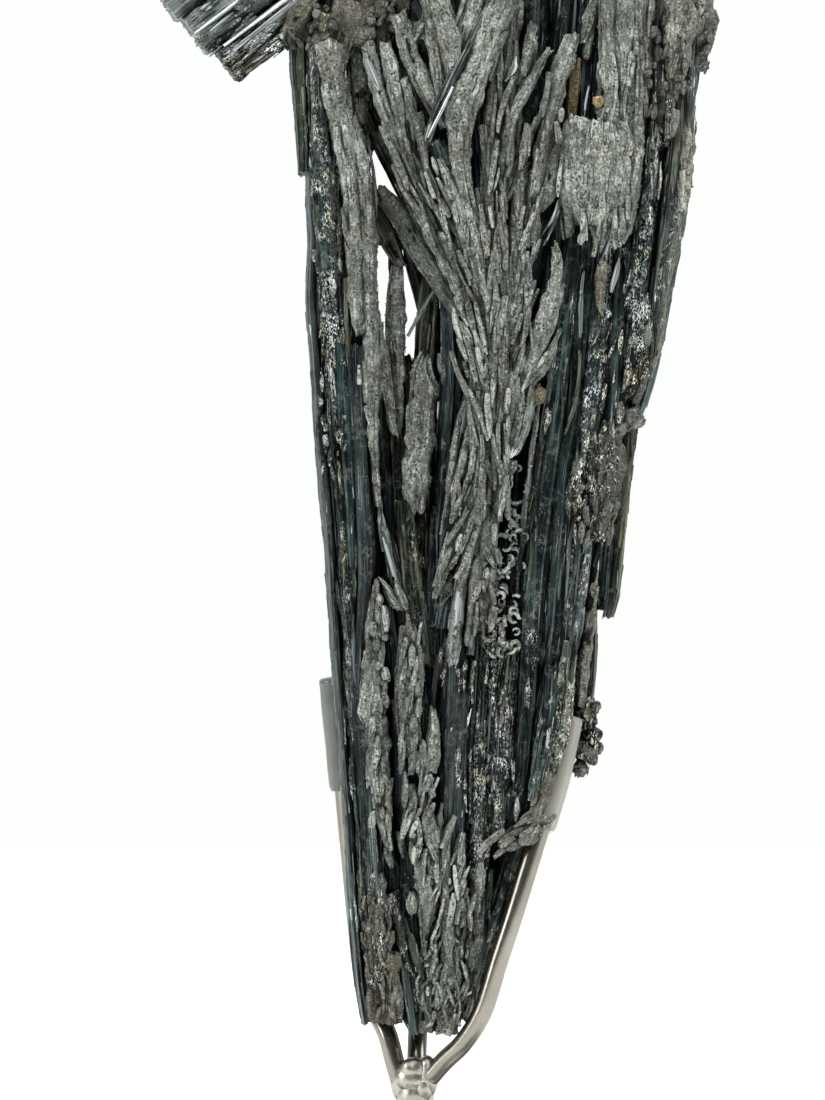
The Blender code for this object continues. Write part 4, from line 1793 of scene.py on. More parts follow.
def rods_to_clear() -> tuple[Rod, ...]:
    """Return the rods and sleeves that the crystals keep clear of.

    Returns:
        One rod for each prong and one for each sleeve.
    """
    rods = []
    for route in (LEFT_ROUTE, RIGHT_ROUTE, BACK_ROUTE):
        line = smooth_line(np.array(route), 40)
        way = unit(line[-1:] - line[-2:-1])[0]
        rods.append(Rod(np.vstack([line, line[-1] + way]), ROD_RADIUS + ROD_CLEAR))
        run = run_along(line)
        part = line[run >= run[-1] - SLEEVE_LENGTH - 1.0]
        rods.append(Rod(np.vstack([part, part[-1] + 2.0 * way]),
                        ROD_RADIUS + SLEEVE_WALL + SLEEVE_CLEAR))
    return tuple(rods)


def tube_rings(line: np.ndarray, way: np.ndarray, radii: np.ndarray, sides: int) -> np.ndarray:
    """Return rings of points round a line.

    Args:
        line: Middle of each ring in mm.
        way: Direction that each ring faces.
        radii: Radius of each ring in mm.
        sides: Points to a ring.

    Returns:
        Points in mm, rings by sides by three.
    """
    wide = unit(np.cross(np.array([0.0, 1.0, 0.0]), way))
    deep = np.cross(way, wide)
    turn = 2.0 * np.pi * np.arange(sides) / sides
    return (line[:, None] + radii[:, None, None] * (np.cos(turn)[None, :, None] * wide[:, None]
                                                    + np.sin(turn)[None, :, None] * deep[:, None]))


def ring_mesh(name: str, rings: np.ndarray) -> bpy.types.Mesh:
    """Make a closed mesh of rings of points, with a flat face at each end.

    Args:
        name: Name of the mesh.
        rings: Points in mm, rings by sides by three.

    Returns:
        The mesh, in metres.
    """
    count, sides = rings.shape[:2]
    faces = ring_faces(count, sides).tolist()
    faces += [list(range(sides))[::-1], list(range((count - 1) * sides, count * sides))]
    mesh = bpy.data.meshes.new(name)
    mesh.from_pydata(rings.reshape(-1, 3) * MM, [], faces)
    mesh.shade_smooth()
    return mesh


def turned_rings(profile: tuple, sides: int) -> np.ndarray:
    """Spin radius and height pairs, in mm, about Z."""
    turn = 2.0 * np.pi * np.arange(sides) / sides
    return np.array([[(r * np.cos(a), r * np.sin(a), h) for a in turn] for r, h in profile])


def linked(name: str, mesh: bpy.types.Mesh, finish: bpy.types.Material) -> bpy.types.Object:
    """Make an object of a mesh and give it one material.

    Args:
        name: Name of the object.
        mesh: Its mesh.
        finish: Its one material.

    Returns:
        The object.
    """
    mesh.materials.clear()
    mesh.materials.append(finish)
    obj = bpy.data.objects.new(name, mesh)
    bpy.context.scene.collection.objects.link(obj)
    return obj


@dataclass
class Prong:
    """A bent rod with a soft sleeve on its end."""

    side: str
    route: tuple
    rod_finish: bpy.types.Material
    sleeve_finish: bpy.types.Material
    rod_steps: int = 72
    rod_sides: int = 24
    sleeve_steps: int = 26
    sleeve_sides: int = 28
    swell: float = 0.12
    swell_cell: float = 6.0
    bore_gap: float = 0.12
    mouth: float = 0.35
    dome: tuple[tuple[float, float], ...] = ((0.35, 0.97), (0.75, 0.85), (1.0, 0.45))

    def build(self) -> None:
        """Make the rod and its sleeve."""
        line = smooth_line(np.array(self.route), self.rod_steps)
        rings = tube_rings(line, unit(np.gradient(line, axis=0)), np.full(len(line), ROD_RADIUS),
                           self.rod_sides)
        rod = linked(f"{self.side}_rod", ring_mesh("rod", rings), self.rod_finish)
        declare(rod, "stainless_rod", f"{self.side}_prong")
        self._sleeve(line)

    def _sleeve(self, line: np.ndarray) -> None:
        """Make the sleeve: a soft tube, a little uneven, with a rounded closed top.

        Args:
            line: The rod's middle line in mm.
        """
        run = run_along(line)
        start = run[-1] - SLEEVE_LENGTH
        at = np.linspace(start, run[-1], self.sleeve_steps)
        mid = np.stack([np.interp(at, run, column) for column in line.T], axis=1)
        way = unit(mid[-1:] - mid[-2:-1])[0]
        inner_line = np.vstack([mid, mid[-1] + way * GAP])
        outer = ROD_RADIUS + GAP + SLEEVE_WALL
        swell = self.swell * noise(inner_line / self.swell_cell + 3.0, 2)
        top = [mid[-1] + way * (GAP + SLEEVE_CAP * rise) for rise, _ in self.dome]
        outer_line = np.vstack([inner_line, top])
        outer_radii = np.concatenate([outer + swell, outer * np.array([r for _, r in self.dome])])
        outer_radii[0] -= self.mouth
        lines = np.vstack([inner_line[::-1], outer_line])
        radii = np.concatenate([np.full(len(inner_line), ROD_RADIUS + self.bore_gap), outer_radii])
        tangent = unit(np.gradient(outer_line, axis=0))
        frames = np.vstack([tangent[:len(inner_line)][::-1], tangent])
        mesh = ring_mesh(f"{self.side}_sleeve", tube_rings(lines, frames, radii, self.sleeve_sides))
        sleeve = linked(f"{self.side}_clear_sleeve", mesh, self.sleeve_finish)
        declare(sleeve, "clear_vinyl", f"{self.side}_sleeve")


@dataclass
class Stand:
    """The round foot, post, weld and three prongs."""

    rod: bpy.types.Material
    weld: bpy.types.Material
    plate: bpy.types.Material
    sleeves: dict[str, bpy.types.Material]
    foot_profile: tuple = ((78.8, 0.0), (79.6, 0.35), (80.0, 1.2), (80.0, 8.8), (79.6, 9.65),
                           (78.8, 10.0))
    foot_sides: int = 128
    post_radius: float = 5.7
    post_rim: tuple = ((0.0, 0.6), (0.3, 0.15), (0.9, 0.0))
    post_sides: int = 48
    rim_angle: float = 35.0
    bead_sides: tuple[int, int] = (30, 20)
    rod_bead: tuple[float, float, float] = (3.4, 3.4, 6.4)
    rod_bead_inward: float = 0.92
    rod_bead_rise: float = 0.6
    skin_cell: float = 2.6
    skin_height: float = 0.14
    ripple_cell: tuple[float, float, float] = (3.4, 3.4, 2.4)
    ripple_depth: float = 0.24

    def build(self) -> None:
        """Make every piece of the stand."""
        self._foot()
        self._post()
        self._knot()
        for side, route in (("left", LEFT_ROUTE), ("right", RIGHT_ROUTE), ("back", BACK_ROUTE)):
            Prong(side, route, self.rod, self.sleeves[side]).build()

    def _turned(self, name: str, profile: tuple, sides: int) -> bpy.types.Mesh:
        """Spin radius and height pairs, in mm, about Z, and keep the rims crisp.

        Args:
            name: Name of the mesh.
            profile: Radius and height pairs in mm.
            sides: Steps round.

        Returns:
            The mesh, in metres.
        """
        mesh = ring_mesh(name, turned_rings(profile, sides))
        mesh.set_sharp_from_angle(angle=np.radians(self.rim_angle))
        return mesh

    def _foot(self) -> None:
        """Make the round foot with its bevelled rims."""
        mesh = self._turned("round_foot", self.foot_profile, self.foot_sides)
        foot = linked("round_foot", mesh, self.plate)
        declare(foot, "brushed_base", "base_plate")

    def _post(self) -> None:
        """Make the post that stands on the foot."""
        low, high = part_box("post")
        bottom, top = low.z / MM, high.z / MM
        profile = ((self.post_radius, bottom),
                   *((self.post_radius - inward, top - down) for inward, down in self.post_rim))
        mesh = self._turned("round_post", profile, self.post_sides)
        post = linked("round_post", mesh, self.rod)
        declare(post, "stainless_rod", "post")

    def _beads(self, base: float, top: float) -> tuple:
        """Return the places and half sizes of the beads that make up the weld, in mm.

        Args:
            base: Foot of the weld in mm.
            top: Top of the weld in mm.

        Returns:
            Middle and half sizes of each bead.
        """
        middle = 0.5 * (base + top)
        beads = [((-0.4, 0.0, middle - 1.0), (6.4, 6.3, 0.5 * (top - base) - 0.2)),
                 ((0.0, 0.0, base - 0.6), (5.9, 5.9, 7.4)),
                 ((-0.4, -3.2, top - 4.0), (4.2, 3.0, 3.8)),
                 ((2.6, -3.4, base + 2.4), (3.0, 2.8, 4.6))]
        for route in (LEFT_ROUTE, RIGHT_ROUTE, BACK_ROUTE):
            x, y, z = route[0]
            beads.append(((self.rod_bead_inward * x, self.rod_bead_inward * y,
                           z + self.rod_bead_rise), self.rod_bead))
        return tuple(beads)

    def _knot(self) -> None:
        """Make the lump of weld metal that ties the rods to the post."""
        low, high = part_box("weld_knot")
        base, top = low.z / MM, high.z / MM
        bm = bmesh.new()
        for at, radius in self._beads(base, top):
            across, up = self.bead_sides
            ball = bmesh.ops.create_uvsphere(bm, u_segments=across, v_segments=up, radius=1.0)
            points = np.array([v.co for v in ball["verts"]])
            body = points * np.array(radius) + np.array(at)
            ripple = np.abs(noise(body / np.array(self.ripple_cell) + 7.0, 5))
            skin = self.skin_height * noise(body / self.skin_cell, 4)
            body += points * (skin - self.ripple_depth * ripple)[:, None]
            for vert, place in zip(ball["verts"], body):
                vert.co = Vector(place) * MM
        mesh = bpy.data.meshes.new("weld")
        bm.to_mesh(mesh)
        bm.free()
        mesh.shade_smooth()
        declare(linked("weld_lump", mesh, self.weld), "weld_metal", "weld_knot")


@dataclass(frozen=True)
class Strands:
    """Short thin crystals scattered along a line; places in mm as seen, `near` is the depth.

    `heading` is in degrees from straight up, leaning right; None turns each its own way.
    `bend` is how sharply they curl, in radians for each step of `step` mm.
    """

    start: tuple[float, float]
    end: tuple[float, float]
    spread: float
    near: tuple[float, float]
    count: int
    seed: int
    heading: float | None = 0.0
    sway: float = 8.0
    bend: tuple[float, float] = (0.0, 0.05)
    step: float = 2.4
    length: tuple[float, float] = (5.0, 16.0)
    width: tuple[float, float] = (0.8, 2.0)
    coat: float = 0.92
    etch: float = 0.2
    tone: float = 0.45
    stain: float = 0.0
    shine: float = 0.0
    blue: float = 0.0
    bright: float = 0.05

    def crystals(self) -> tuple[Crystal, ...]:
        """Return the strands as thin crystals.

        Returns:
            One crystal for each strand.
        """
        rng = np.random.default_rng(self.seed)
        first, last = np.array(self.start), np.array(self.end)
        aside = unit(np.array([[last[1] - first[1], first[0] - last[0]]]))[0]
        made = []
        for _ in range(self.count):
            at = first + (last - first) * rng.uniform(-0.05, 1.05)
            at = at + aside * rng.uniform(-self.spread, self.spread)
            turn = rng.uniform(0.0, 2.0 * np.pi) if self.heading is None else np.radians(
                90.0 - self.heading + rng.normal(0.0, self.sway))
            long = rng.uniform(*self.length) * rng.uniform(0.6, 1.0)
            steps = max(3, int(round(long / self.step)))
            bend = rng.choice((-1.0, 1.0)) * rng.uniform(*self.bend)
            width = rng.uniform(*self.width)
            way = turn - 0.5 * bend * steps
            at = at - 0.5 * long * np.array([np.cos(turn), np.sin(turn)])
            line = []
            for k in range(steps + 1):
                share = abs(2.0 * k / steps - 1.0)
                line.append((at[0], at[1], width * (1.0 - 0.4 * share * share)))
                at = at + long / steps * np.array([np.cos(way), np.sin(way)])
                way += bend
            near = rng.uniform(*self.near)
            # A share of the strands gets painted sheen.
            shine = self.shine + (rng.uniform(0.4, 0.9) if rng.random() < self.bright else 0.0)
            made.append(Crystal(
                tuple(line), (near, near + rng.uniform(-0.6, 0.6)), width * rng.uniform(0.6, 1.0),
                coat=self.coat, etch=self.etch, stain=self.stain, blue=self.blue, shine=shine,
                tone=float(np.clip(self.tone + rng.uniform(-0.3, 0.3), 0.0, 1.0)), facets=5,
                groove=0.06, steps=0.12, jag=1.8, lumps=0.26, mesh_across=3.0,
                mesh_along=min(self.step, 2.2), ragged=0.34))
        return tuple(made)


# ---------------------------------------------------------------------------------------------
# The crystals, by region
# ---------------------------------------------------------------------------------------------


def crystal_of(settings: dict, line: tuple, near: float | tuple[float, float], depth: float,
               **more: object) -> Crystal:
    """Return a crystal of one of the kinds below.

    Args:
        settings: What the kind sets.
        line: Across, up and width in mm, from foot to head.
        near: Depth of the middle line in mm, or its depth at the foot and at the head.
        depth: Thickness from front to back in mm.
        more: Fields of Crystal that this one sets for itself.

    Returns:
        The crystal.
    """
    pair = near if isinstance(near, tuple) else (near, near)
    return Crystal(line, pair, depth, **(settings | more))


# A blade under a full grey coat, a smooth dark crystal, and a pitted one with painted glints.
coated = partial(crystal_of, {"coat": 0.9, "groove": 0.35, "steps": 0.7, "jag": 1.7, "ridges": 1.3,
                              "facets": 6, "proud": 1.0, "lumps": 0.55, "ragged": 0.24})
bare = partial(crystal_of, {"coat": 0.10, "etch": 0.14, "steps": 0.6, "groove": 0.25,
                            "ridges": 1.3})
etched = partial(crystal_of, {"coat": 0.20, "etch": 0.85, "steps": 0.6, "groove": 0.4,
                              "ridges": 2.2})


LEFT_SPAR = (
    bare(((-34.2, 400, 6.6), (-34.6, 369, 6.6), (-33.9, 357, 5.8), (-33.3, 344, 5.2), (-33.1, 334, 4.6)),
        (-2.4, -2.2), 17, blue=0.3, tone=0.9, facets=8, jag=0.5),
    bare(((-26, 290, 5), (-22.4, 284, 9), (-21.6, 270, 9.6), (-20.4, 250, 9.4), (-19.4, 232, 8), (-18.6,
        216, 6)), (-9.6, -9), 8, blue=0.9, tone=0, ridges=1.2),
    bare(((-30.8, 340, 4.6), (-30.5, 327, 5), (-29.9, 315, 5), (-30.1, 306, 5), (-30.4, 297, 5), (-29.7,
        285, 4.8), (-28.8, 273, 5), (-27.7, 255, 5.2), (-26.1, 237, 5.2), (-24.7, 219, 5), (-24, 207, 4.8),
        (-23.3, 195, 4.8), (-22.6, 183, 4.6), (-21.2, 165, 4.6), (-19.7, 147, 4.8), (-18.5, 129, 5), (-17.6,
        111, 5), (-16.1, 93, 4.8), (-14.4, 79.5, 3.6)), (-2, -1), 17, blue=0.7, shine=0.12, tone=0.4,
        facets=8),
    etched(((-30, 384, 8), (-29.3, 357, 7), (-27.7, 342, 8.6), (-27.1, 327, 9.6), (-26, 312, 8.8), (-25.2,
        297, 8.4), (-23.7, 282, 8.6), (-22.6, 267, 8.4), (-21.8, 252, 7.4), (-21, 237, 6.6), (-20.1, 219,
        6.8), (-19.2, 207, 6.8), (-18.9, 192, 6), (-18.3, 177, 6), (-17, 159, 6), (-15.8, 141, 6), (-14.6,
        123, 6.5), (-12.6, 105, 8), (-11, 92, 8.5), (-9.8, 82.5, 7)), (-3.5, -2), 19, facets=8, tone=0.4,
        blue=0.6, coat=0.08, etch=0.95, ridges=1.6),
    bare(((-21, 304, 3.4), (-20.6, 291, 3.4), (-20.4, 279, 3)), (-10.5, -11), 5, tone=0.95),
    bare(((-16.7, 284, 4.6), (-16.6, 273, 5), (-16, 255, 6), (-15.4, 237, 6.2), (-14.6, 222, 6.6), (-15,
        207, 5.6), (-16.4, 189, 5), (-15.8, 171, 6), (-14.4, 153, 6.5), (-13.4, 135, 6.5), (-12.4, 120, 7),
        (-10, 100, 7)), (-6, -5), 14, blue=0.5, tone=0.2, facets=6, shine=0.05),
    bare(((-26, 396, 9), (-24.5, 360, 9), (-21, 320, 9), (-17.5, 280, 9), (-13, 220, 9), (-9, 160, 9),
        (-6.5, 110, 8)), (9, 7), 14, tone=0.6),
    bare(((-16.5, 286, 7), (-13, 240, 8), (-9, 180, 8), (-6.5, 110, 8)), (14, 12), 9, tone=0.7),
    bare(((-34.5, 441, 6), (-31, 400, 8.5), (-26.5, 350, 9)), (8, 6), 9, tip=Tip.CHISEL),
)

LEFT_COLUMN = (
    coated(((-25.8, 376, 9), (-23.6, 360, 7), (-22, 351, 7), (-20.2, 342, 6), (-19.1, 330, 5.4), (-18.4,
        318, 5.2), (-17.9, 306, 5), (-17.3, 294, 4.8), (-16.4, 285, 3.6)), (-13.5, -12.5), 8, lumps=0.8,
        ridges=0.4, facets=8),
    # Painted shade: the top of the second blade has its coat darkened by tone 1.
    coated(((-17.6, 378, 7), (-17, 362, 6.6), (-16.4, 348, 5)), (-9.5, -9), 6, tone=1, coat=0.6),
    coated(((-18.6, 354, 3), (-17.4, 347, 5), (-15.8, 336, 6.4), (-14.5, 324, 5.8), (-14.1, 312, 5.2),
        (-13.5, 300, 5.2), (-12.6, 288, 5.2), (-12, 279, 5), (-12.3, 267, 4.4), (-12.2, 255, 3.4), (-11.5,
        243, 3), (-10.4, 234, 2.6)), (-12.5, -10.5), 7, lumps=0.8, ridges=0.5, facets=8),
    bare(((-14.6, 369.6, 1.2), (-13.2, 366, 2.2), (-11.8, 362.6, 2), (-10.6, 359.8, 1)), (-19.6, -19.4),
        1.4, shine=1, coat=0, steps=0.1, jag=0.3, ridges=0),
    coated(((-10.6, 291, 2.4), (-9.4, 278, 3.6), (-7.8, 265, 3.4), (-5.6, 255, 2.2)), (-9.5, -8.5), 4,
        lumps=0.4),
    coated(((-10.4, 238, 1.6), (-9.4, 228, 3), (-7.4, 216, 2.4), (-6.6, 209, 1.4)), -8, 3, coat=0.5,
        shine=0.4),
    bare(((-8.6, 224, 0.9), (-5.2, 212, 0.9)), -10, 1, shine=1, steps=0.1),
    bare(((-9.6, 226, 0.8), (-6.3, 214, 0.8)), -10, 1, shine=0.8, steps=0.1),
)

CROSS_STUB = (
    bare(((-18.5, 358, 6), (-15.4, 348, 6.4), (-13.8, 340, 3.6)), -6, 6, tone=0.6, coat=0.3),
    bare(((-13.8, 330, 3), (-11.2, 323, 6), (-9.4, 314, 4)), -4.5, 5, tone=1, coat=0.5),
    etched(((-19.3, 394.7, 14), (-36.9, 381.5, 13), (-56.8, 366.6, 12.4)), -3, 19, jag=0.35, steps=1.2,
        groove=0.5, tone=0.6, mesh_along=1.3),
    bare(((-19.2, 411.1, 16), (-42, 394, 15), (-66.4, 375.6, 15.4)), (-1, -2), 22, jag=0.35, steps=1.4,
        groove=0.6, etch=0.45, blue=0.6, shine=0.62, coat=0.06, ridges=2.2, ridge_size=(0.6, 1.8),
        mesh_along=1.5),
    bare(((-21.2, 427.6, 17), (-48, 407.5, 16), (-76, 386.4, 16.4)), (-3, -4), 18, jag=0.35, steps=1.4,
        groove=0.6, etch=0.45, blue=0.6, shine=0.58, coat=0.06, ridges=2, ridge_size=(0.6, 1.8),
        mesh_along=1.5),
    bare(((-24, 398.6, 1.2), (-40, 386.4, 1.3), (-57.4, 373.2, 0.9)), -13.2, 1.6, shine=0.92, coat=0,
        steps=0.1, jag=0.3, groove=0.1, ridges=0),
    bare(((-26, 394, 1.4), (-40, 383.2, 1.8), (-54.6, 371.8, 1.2)), -13, 1.4, shine=0.9, blue=0.3, coat=0,
        steps=0.1, jag=0.3, groove=0.1, ridges=0),
    bare(((-44, 393.6, 1.2), (-56, 384.4, 1.4), (-66, 377, 1)), -12.8, 1.4, shine=0.9, coat=0, steps=0.1,
        jag=0.3, groove=0.1, ridges=0),
    etched(((-38, 383.4, 3), (-45, 377.8, 4.6), (-52, 372.4, 3)), -12.2, 2.6, shine=0.6, coat=0.1, etch=1,
        tone=0.2),
    bare(((-36, 377, 3), (-46, 370, 4), (-52, 365.4, 3)), -11.6, 3, tone=0.9, etch=0.4),
    coated(((-40, 395, 7), (-47, 387.8, 8), (-54, 383, 5)), -12, 4, coat=0.92, tone=0.9, lumps=0.9),
    coated(((-26, 392, 7), (-33, 384, 8), (-37.6, 375, 6), (-37, 371, 3)), (-11, -12), 8, coat=0.66,
        lumps=1.2, tone=0.95, etch=0.5, stain=0.3),
    coated(((-14, 428, 16), (-16, 400, 21), (-20.5, 378, 19), (-22.5, 369, 13)), (-6, -9), 17, coat=0.62,
        lumps=1.5, etch=0.5, tone=1, jag=0.8, stain=0.3),
    coated(((-8, 418, 10), (-10, 395, 11), (-12.5, 376, 11), (-13.5, 370, 8)), (-9, -9.5), 12, coat=0.66,
        lumps=1.3, tone=1, etch=0.4, stain=0.3),
    coated(((-4, 406, 10), (-5, 394, 10), (-6.5, 384, 9), (-7, 377, 6)), (-8, -9), 10, coat=0.68, lumps=1.2,
        tone=1, etch=0.4, stain=0.3),
    bare(((-17, 424, 9), (-15, 390, 10), (-14.5, 356, 9)), (9, 8), 9, tone=0.7),
)

FAN = (
    # Left blades, from the crust down to the waist.
    coated(((-14.7, 375, 5.4), (-10.5, 358.5, 5), (-6.9, 349.5, 5), (-3.3, 340.5, 5), (-0.9, 333, 4.8),
        (4.5, 318, 4.5), (11, 304.5, 4.2), (16, 292, 3)), -17, 4),
    coated(((-9.3, 375, 4.2), (-5.4, 357, 4.2), (-3.6, 345, 3.6), (-0.5, 335, 3)), (-18, -17), 4,
        coat=0.85),
    coated(((-5.9, 384, 5), (0, 367, 5.2), (5, 357, 4.6), (9.5, 347, 3.4)), -19, 4.5),
    coated(((-3, 364.5, 3.4), (-1.5, 355, 3.2), (0.4, 344, 2.6)), (-19.5, -18), 3, coat=0.8),
    coated(((0.9, 354, 3.6), (1.8, 345, 3.4), (3, 338, 2.6)), (-19, -18), 3.2),
    coated(((3, 392, 4.2), (5.4, 375, 4.2), (7.5, 360, 4), (8.2, 352, 3)), (-20.5, -20), 4),
    coated(((5.6, 394, 6), (6.6, 385.5, 7), (9.3, 378, 7.8), (11.1, 369, 7.4), (12, 361, 5.2)), (-21,
        -20.5), 6, lumps=0.4, ridges=0.4),
    coated(((20, 398, 6), (18, 387, 6.8), (16.5, 378, 6.8), (14.1, 370.5, 5.6), (12.6, 364, 3.4)), (-19.5,
        -20), 5, lumps=0.4, ridges=0.4),
    coated(((38, 411, 8), (33, 398, 8), (27.6, 387, 8.4), (23, 378.5, 8.4), (19.6, 368, 8.6), (16.2, 359.4,
        9.6), (14.2, 353.4, 9.2), (13.2, 345, 7.2), (13.6, 337.5, 5.4), (15.4, 327, 4.6), (18.4, 314, 4.4),
        (21.6, 298, 3.4)), (-22, -21), 5, lumps=0.6, facets=8, ridges=0.45),
    bare(((23.5, 388, 3.8), (20, 381, 3.8), (16.5, 373.5, 3.8), (12, 364.5, 3.8), (7.5, 355.5, 3.8), (3.4,
        344.4, 3.4)), (-21.5, -23.5), 2.6, shine=0.08, blue=0.7, steps=0.5, jag=0.3, ridges=7,
        ridge_size=(0.35, 0.8)),
    bare(((11.4, 361, 0.6), (7.6, 353, 0.9), (3.8, 345.6, 0.7)), (-24.2, -24.6), 0.8, shine=1, steps=0,
        jag=0.2, ridges=0),
    bare(((12.8, 368.6, 0.4), (9, 359.6, 0.6), (6.2, 354, 0.4)), (-23.8, -24.2), 0.6, shine=0.8, steps=0,
        jag=0.2, ridges=0),
    bare(((5.6, 345.5, 5.4), (8.6, 338.5, 5.8), (11.4, 332, 4.6)), -20.5, 3, tone=0, etch=0.3, blue=0.5),
    coated(((6.2, 341, 2.6), (9.5, 332, 3.4), (16.5, 309, 3.8), (21, 288, 3), (22, 276, 2.4)), (-21, -19),
        3.4),
    coated(((9.4, 334.5, 3.2), (13.5, 324, 4), (18.9, 309, 4.2), (22.5, 288, 3.4), (22.8, 272, 2.6)),
        (-21.5, -19.5), 3.6),
    coated(((12.8, 336.5, 3.4), (17.5, 322, 3.8), (21.6, 310.5, 3.6), (24.3, 288, 3), (24, 268, 2.4)), (-21,
        -19), 3.4),
    # Darker blades deeper in.
    bare(((-4.5, 345, 3.6), (1.5, 327, 3.8), (9, 308.4, 3.6), (15, 292, 3)), -14, 4, tone=0.9, coat=0.25),
    bare(((-12.9, 348, 4), (-4.5, 333, 4.2), (6.3, 308, 4.2), (14, 288, 3.4)), (-9, -12), 4),
    bare(((-12, 330.6, 4), (-9.4, 327.4, 6.2), (-3, 320, 7.4), (7.5, 303, 7.4), (14, 292, 5)), (-7.5, -13),
        6, tone=1, coat=0.8, ridges=0.4),
    coated(((20.1, 350.5, 2.4), (21.6, 339, 3.2), (22.5, 318, 3.2), (23.2, 297, 2.4)), -18.5, 3),
    coated(((24.6, 366.5, 3.6), (23.1, 354, 4.4), (22.5, 342, 4.2), (23.6, 320, 3.2)), (-17, -17.5), 3.6),
    coated(((27, 359.5, 3), (25.5, 342, 3.8), (24.8, 318, 3.6), (25, 294, 2.6)), (-16.5, -17.5), 3.4,
        coat=0.85),
    coated(((18.1, 331, 1.8), (19.5, 318, 2.6), (21.9, 297, 2.4), (23, 280, 1.8)), (-20, -19.5), 2.4),
    bare(((30.2, 370.5, 1), (29.2, 366, 1.9), (26.6, 362.5, 1.4)), -19, 1.4, shine=0.9, blue=0.9),
    # Right blades.
    coated(((31.6, 388, 3.8), (29.1, 373.5, 3.8), (27, 358.5, 3.4), (26.1, 346, 2.6)), (-15, -16), 3.4),
    coated(((35.4, 381, 3.4), (33.3, 369, 3.6), (31, 360, 3)), -17.5, 3.6),
    bare(((35.8, 375, 3.6), (34.4, 366, 3.8), (32, 357, 3)), (-15.5, -16), 3.6, blue=0.9, shine=0.15),
    coated(((40.8, 373, 3.2), (37.5, 367.5, 3.6), (33.3, 360, 3.8), (30, 354, 3.8), (27.9, 346.5, 3.4),
        (25.5, 336, 2.8), (25.4, 322, 2.2)), (-19, -18), 3.4),
    coated(((48.2, 378, 5), (45.4, 369, 6.4), (43.2, 363, 6), (40.5, 352, 5.8), (38.4, 342, 5), (35.9,
        331.5, 4.6), (33.6, 318, 4.2), (32.1, 297, 3.2)), (-16.5, -18), 5),
    coated(((48.6, 371, 3.8), (47.6, 360, 3.8), (47, 350, 3.4)), -14.2, 4, tone=0.85, stain=1, coat=1,
        ridges=0, lumps=0.08, ragged=0.02, groove=0.05),
    coated(((43.6, 347, 4), (42, 340, 5.6), (39.6, 330, 5.6), (37.5, 322, 4)), (-15, -15.5), 4, coat=0.8),
    coated(((32.9, 340, 4), (31.8, 332, 5), (31.2, 318, 4.8), (29.7, 297, 4), (28.6, 284, 3)), (-17.5,
        -18.5), 4),
    bare(((43.4, 328, 1.2), (41, 321, 1.4), (37.6, 316, 1.2)), -15, 1.4, shine=1),
    bare(((45, 331, 1.2), (42.6, 322, 1.6), (38.4, 313, 1.2)), (-14, -14.5), 1.6, shine=0.5, blue=0.5),
    coated(((54.6, 389, 3.4), (51.9, 379.5, 4), (50, 373, 3)), -15.5, 4, coat=0.85),
    coated(((41.8, 315, 2.8), (42.6, 306, 3.6), (40.8, 297, 6), (38.2, 288, 6.4), (35.2, 280, 5.2), (32.2,
        272, 4), (29.4, 266, 2.6)), (-19, -18.5), 4.6),
    coated(((38.8, 295, 2), (34.5, 283.5, 2.8), (30, 273, 2.2)), (-17.5, -18), 3, coat=0.85),
    coated(((44, 289, 1.6), (39, 279, 2.6), (33, 271.5, 2.6), (29, 267, 2)), -18.5, 2.6),
    coated(((42.6, 283, 1.4), (37.5, 275, 2.2), (32, 268, 2)), (-17, -17.5), 2.4, coat=0.8),
)

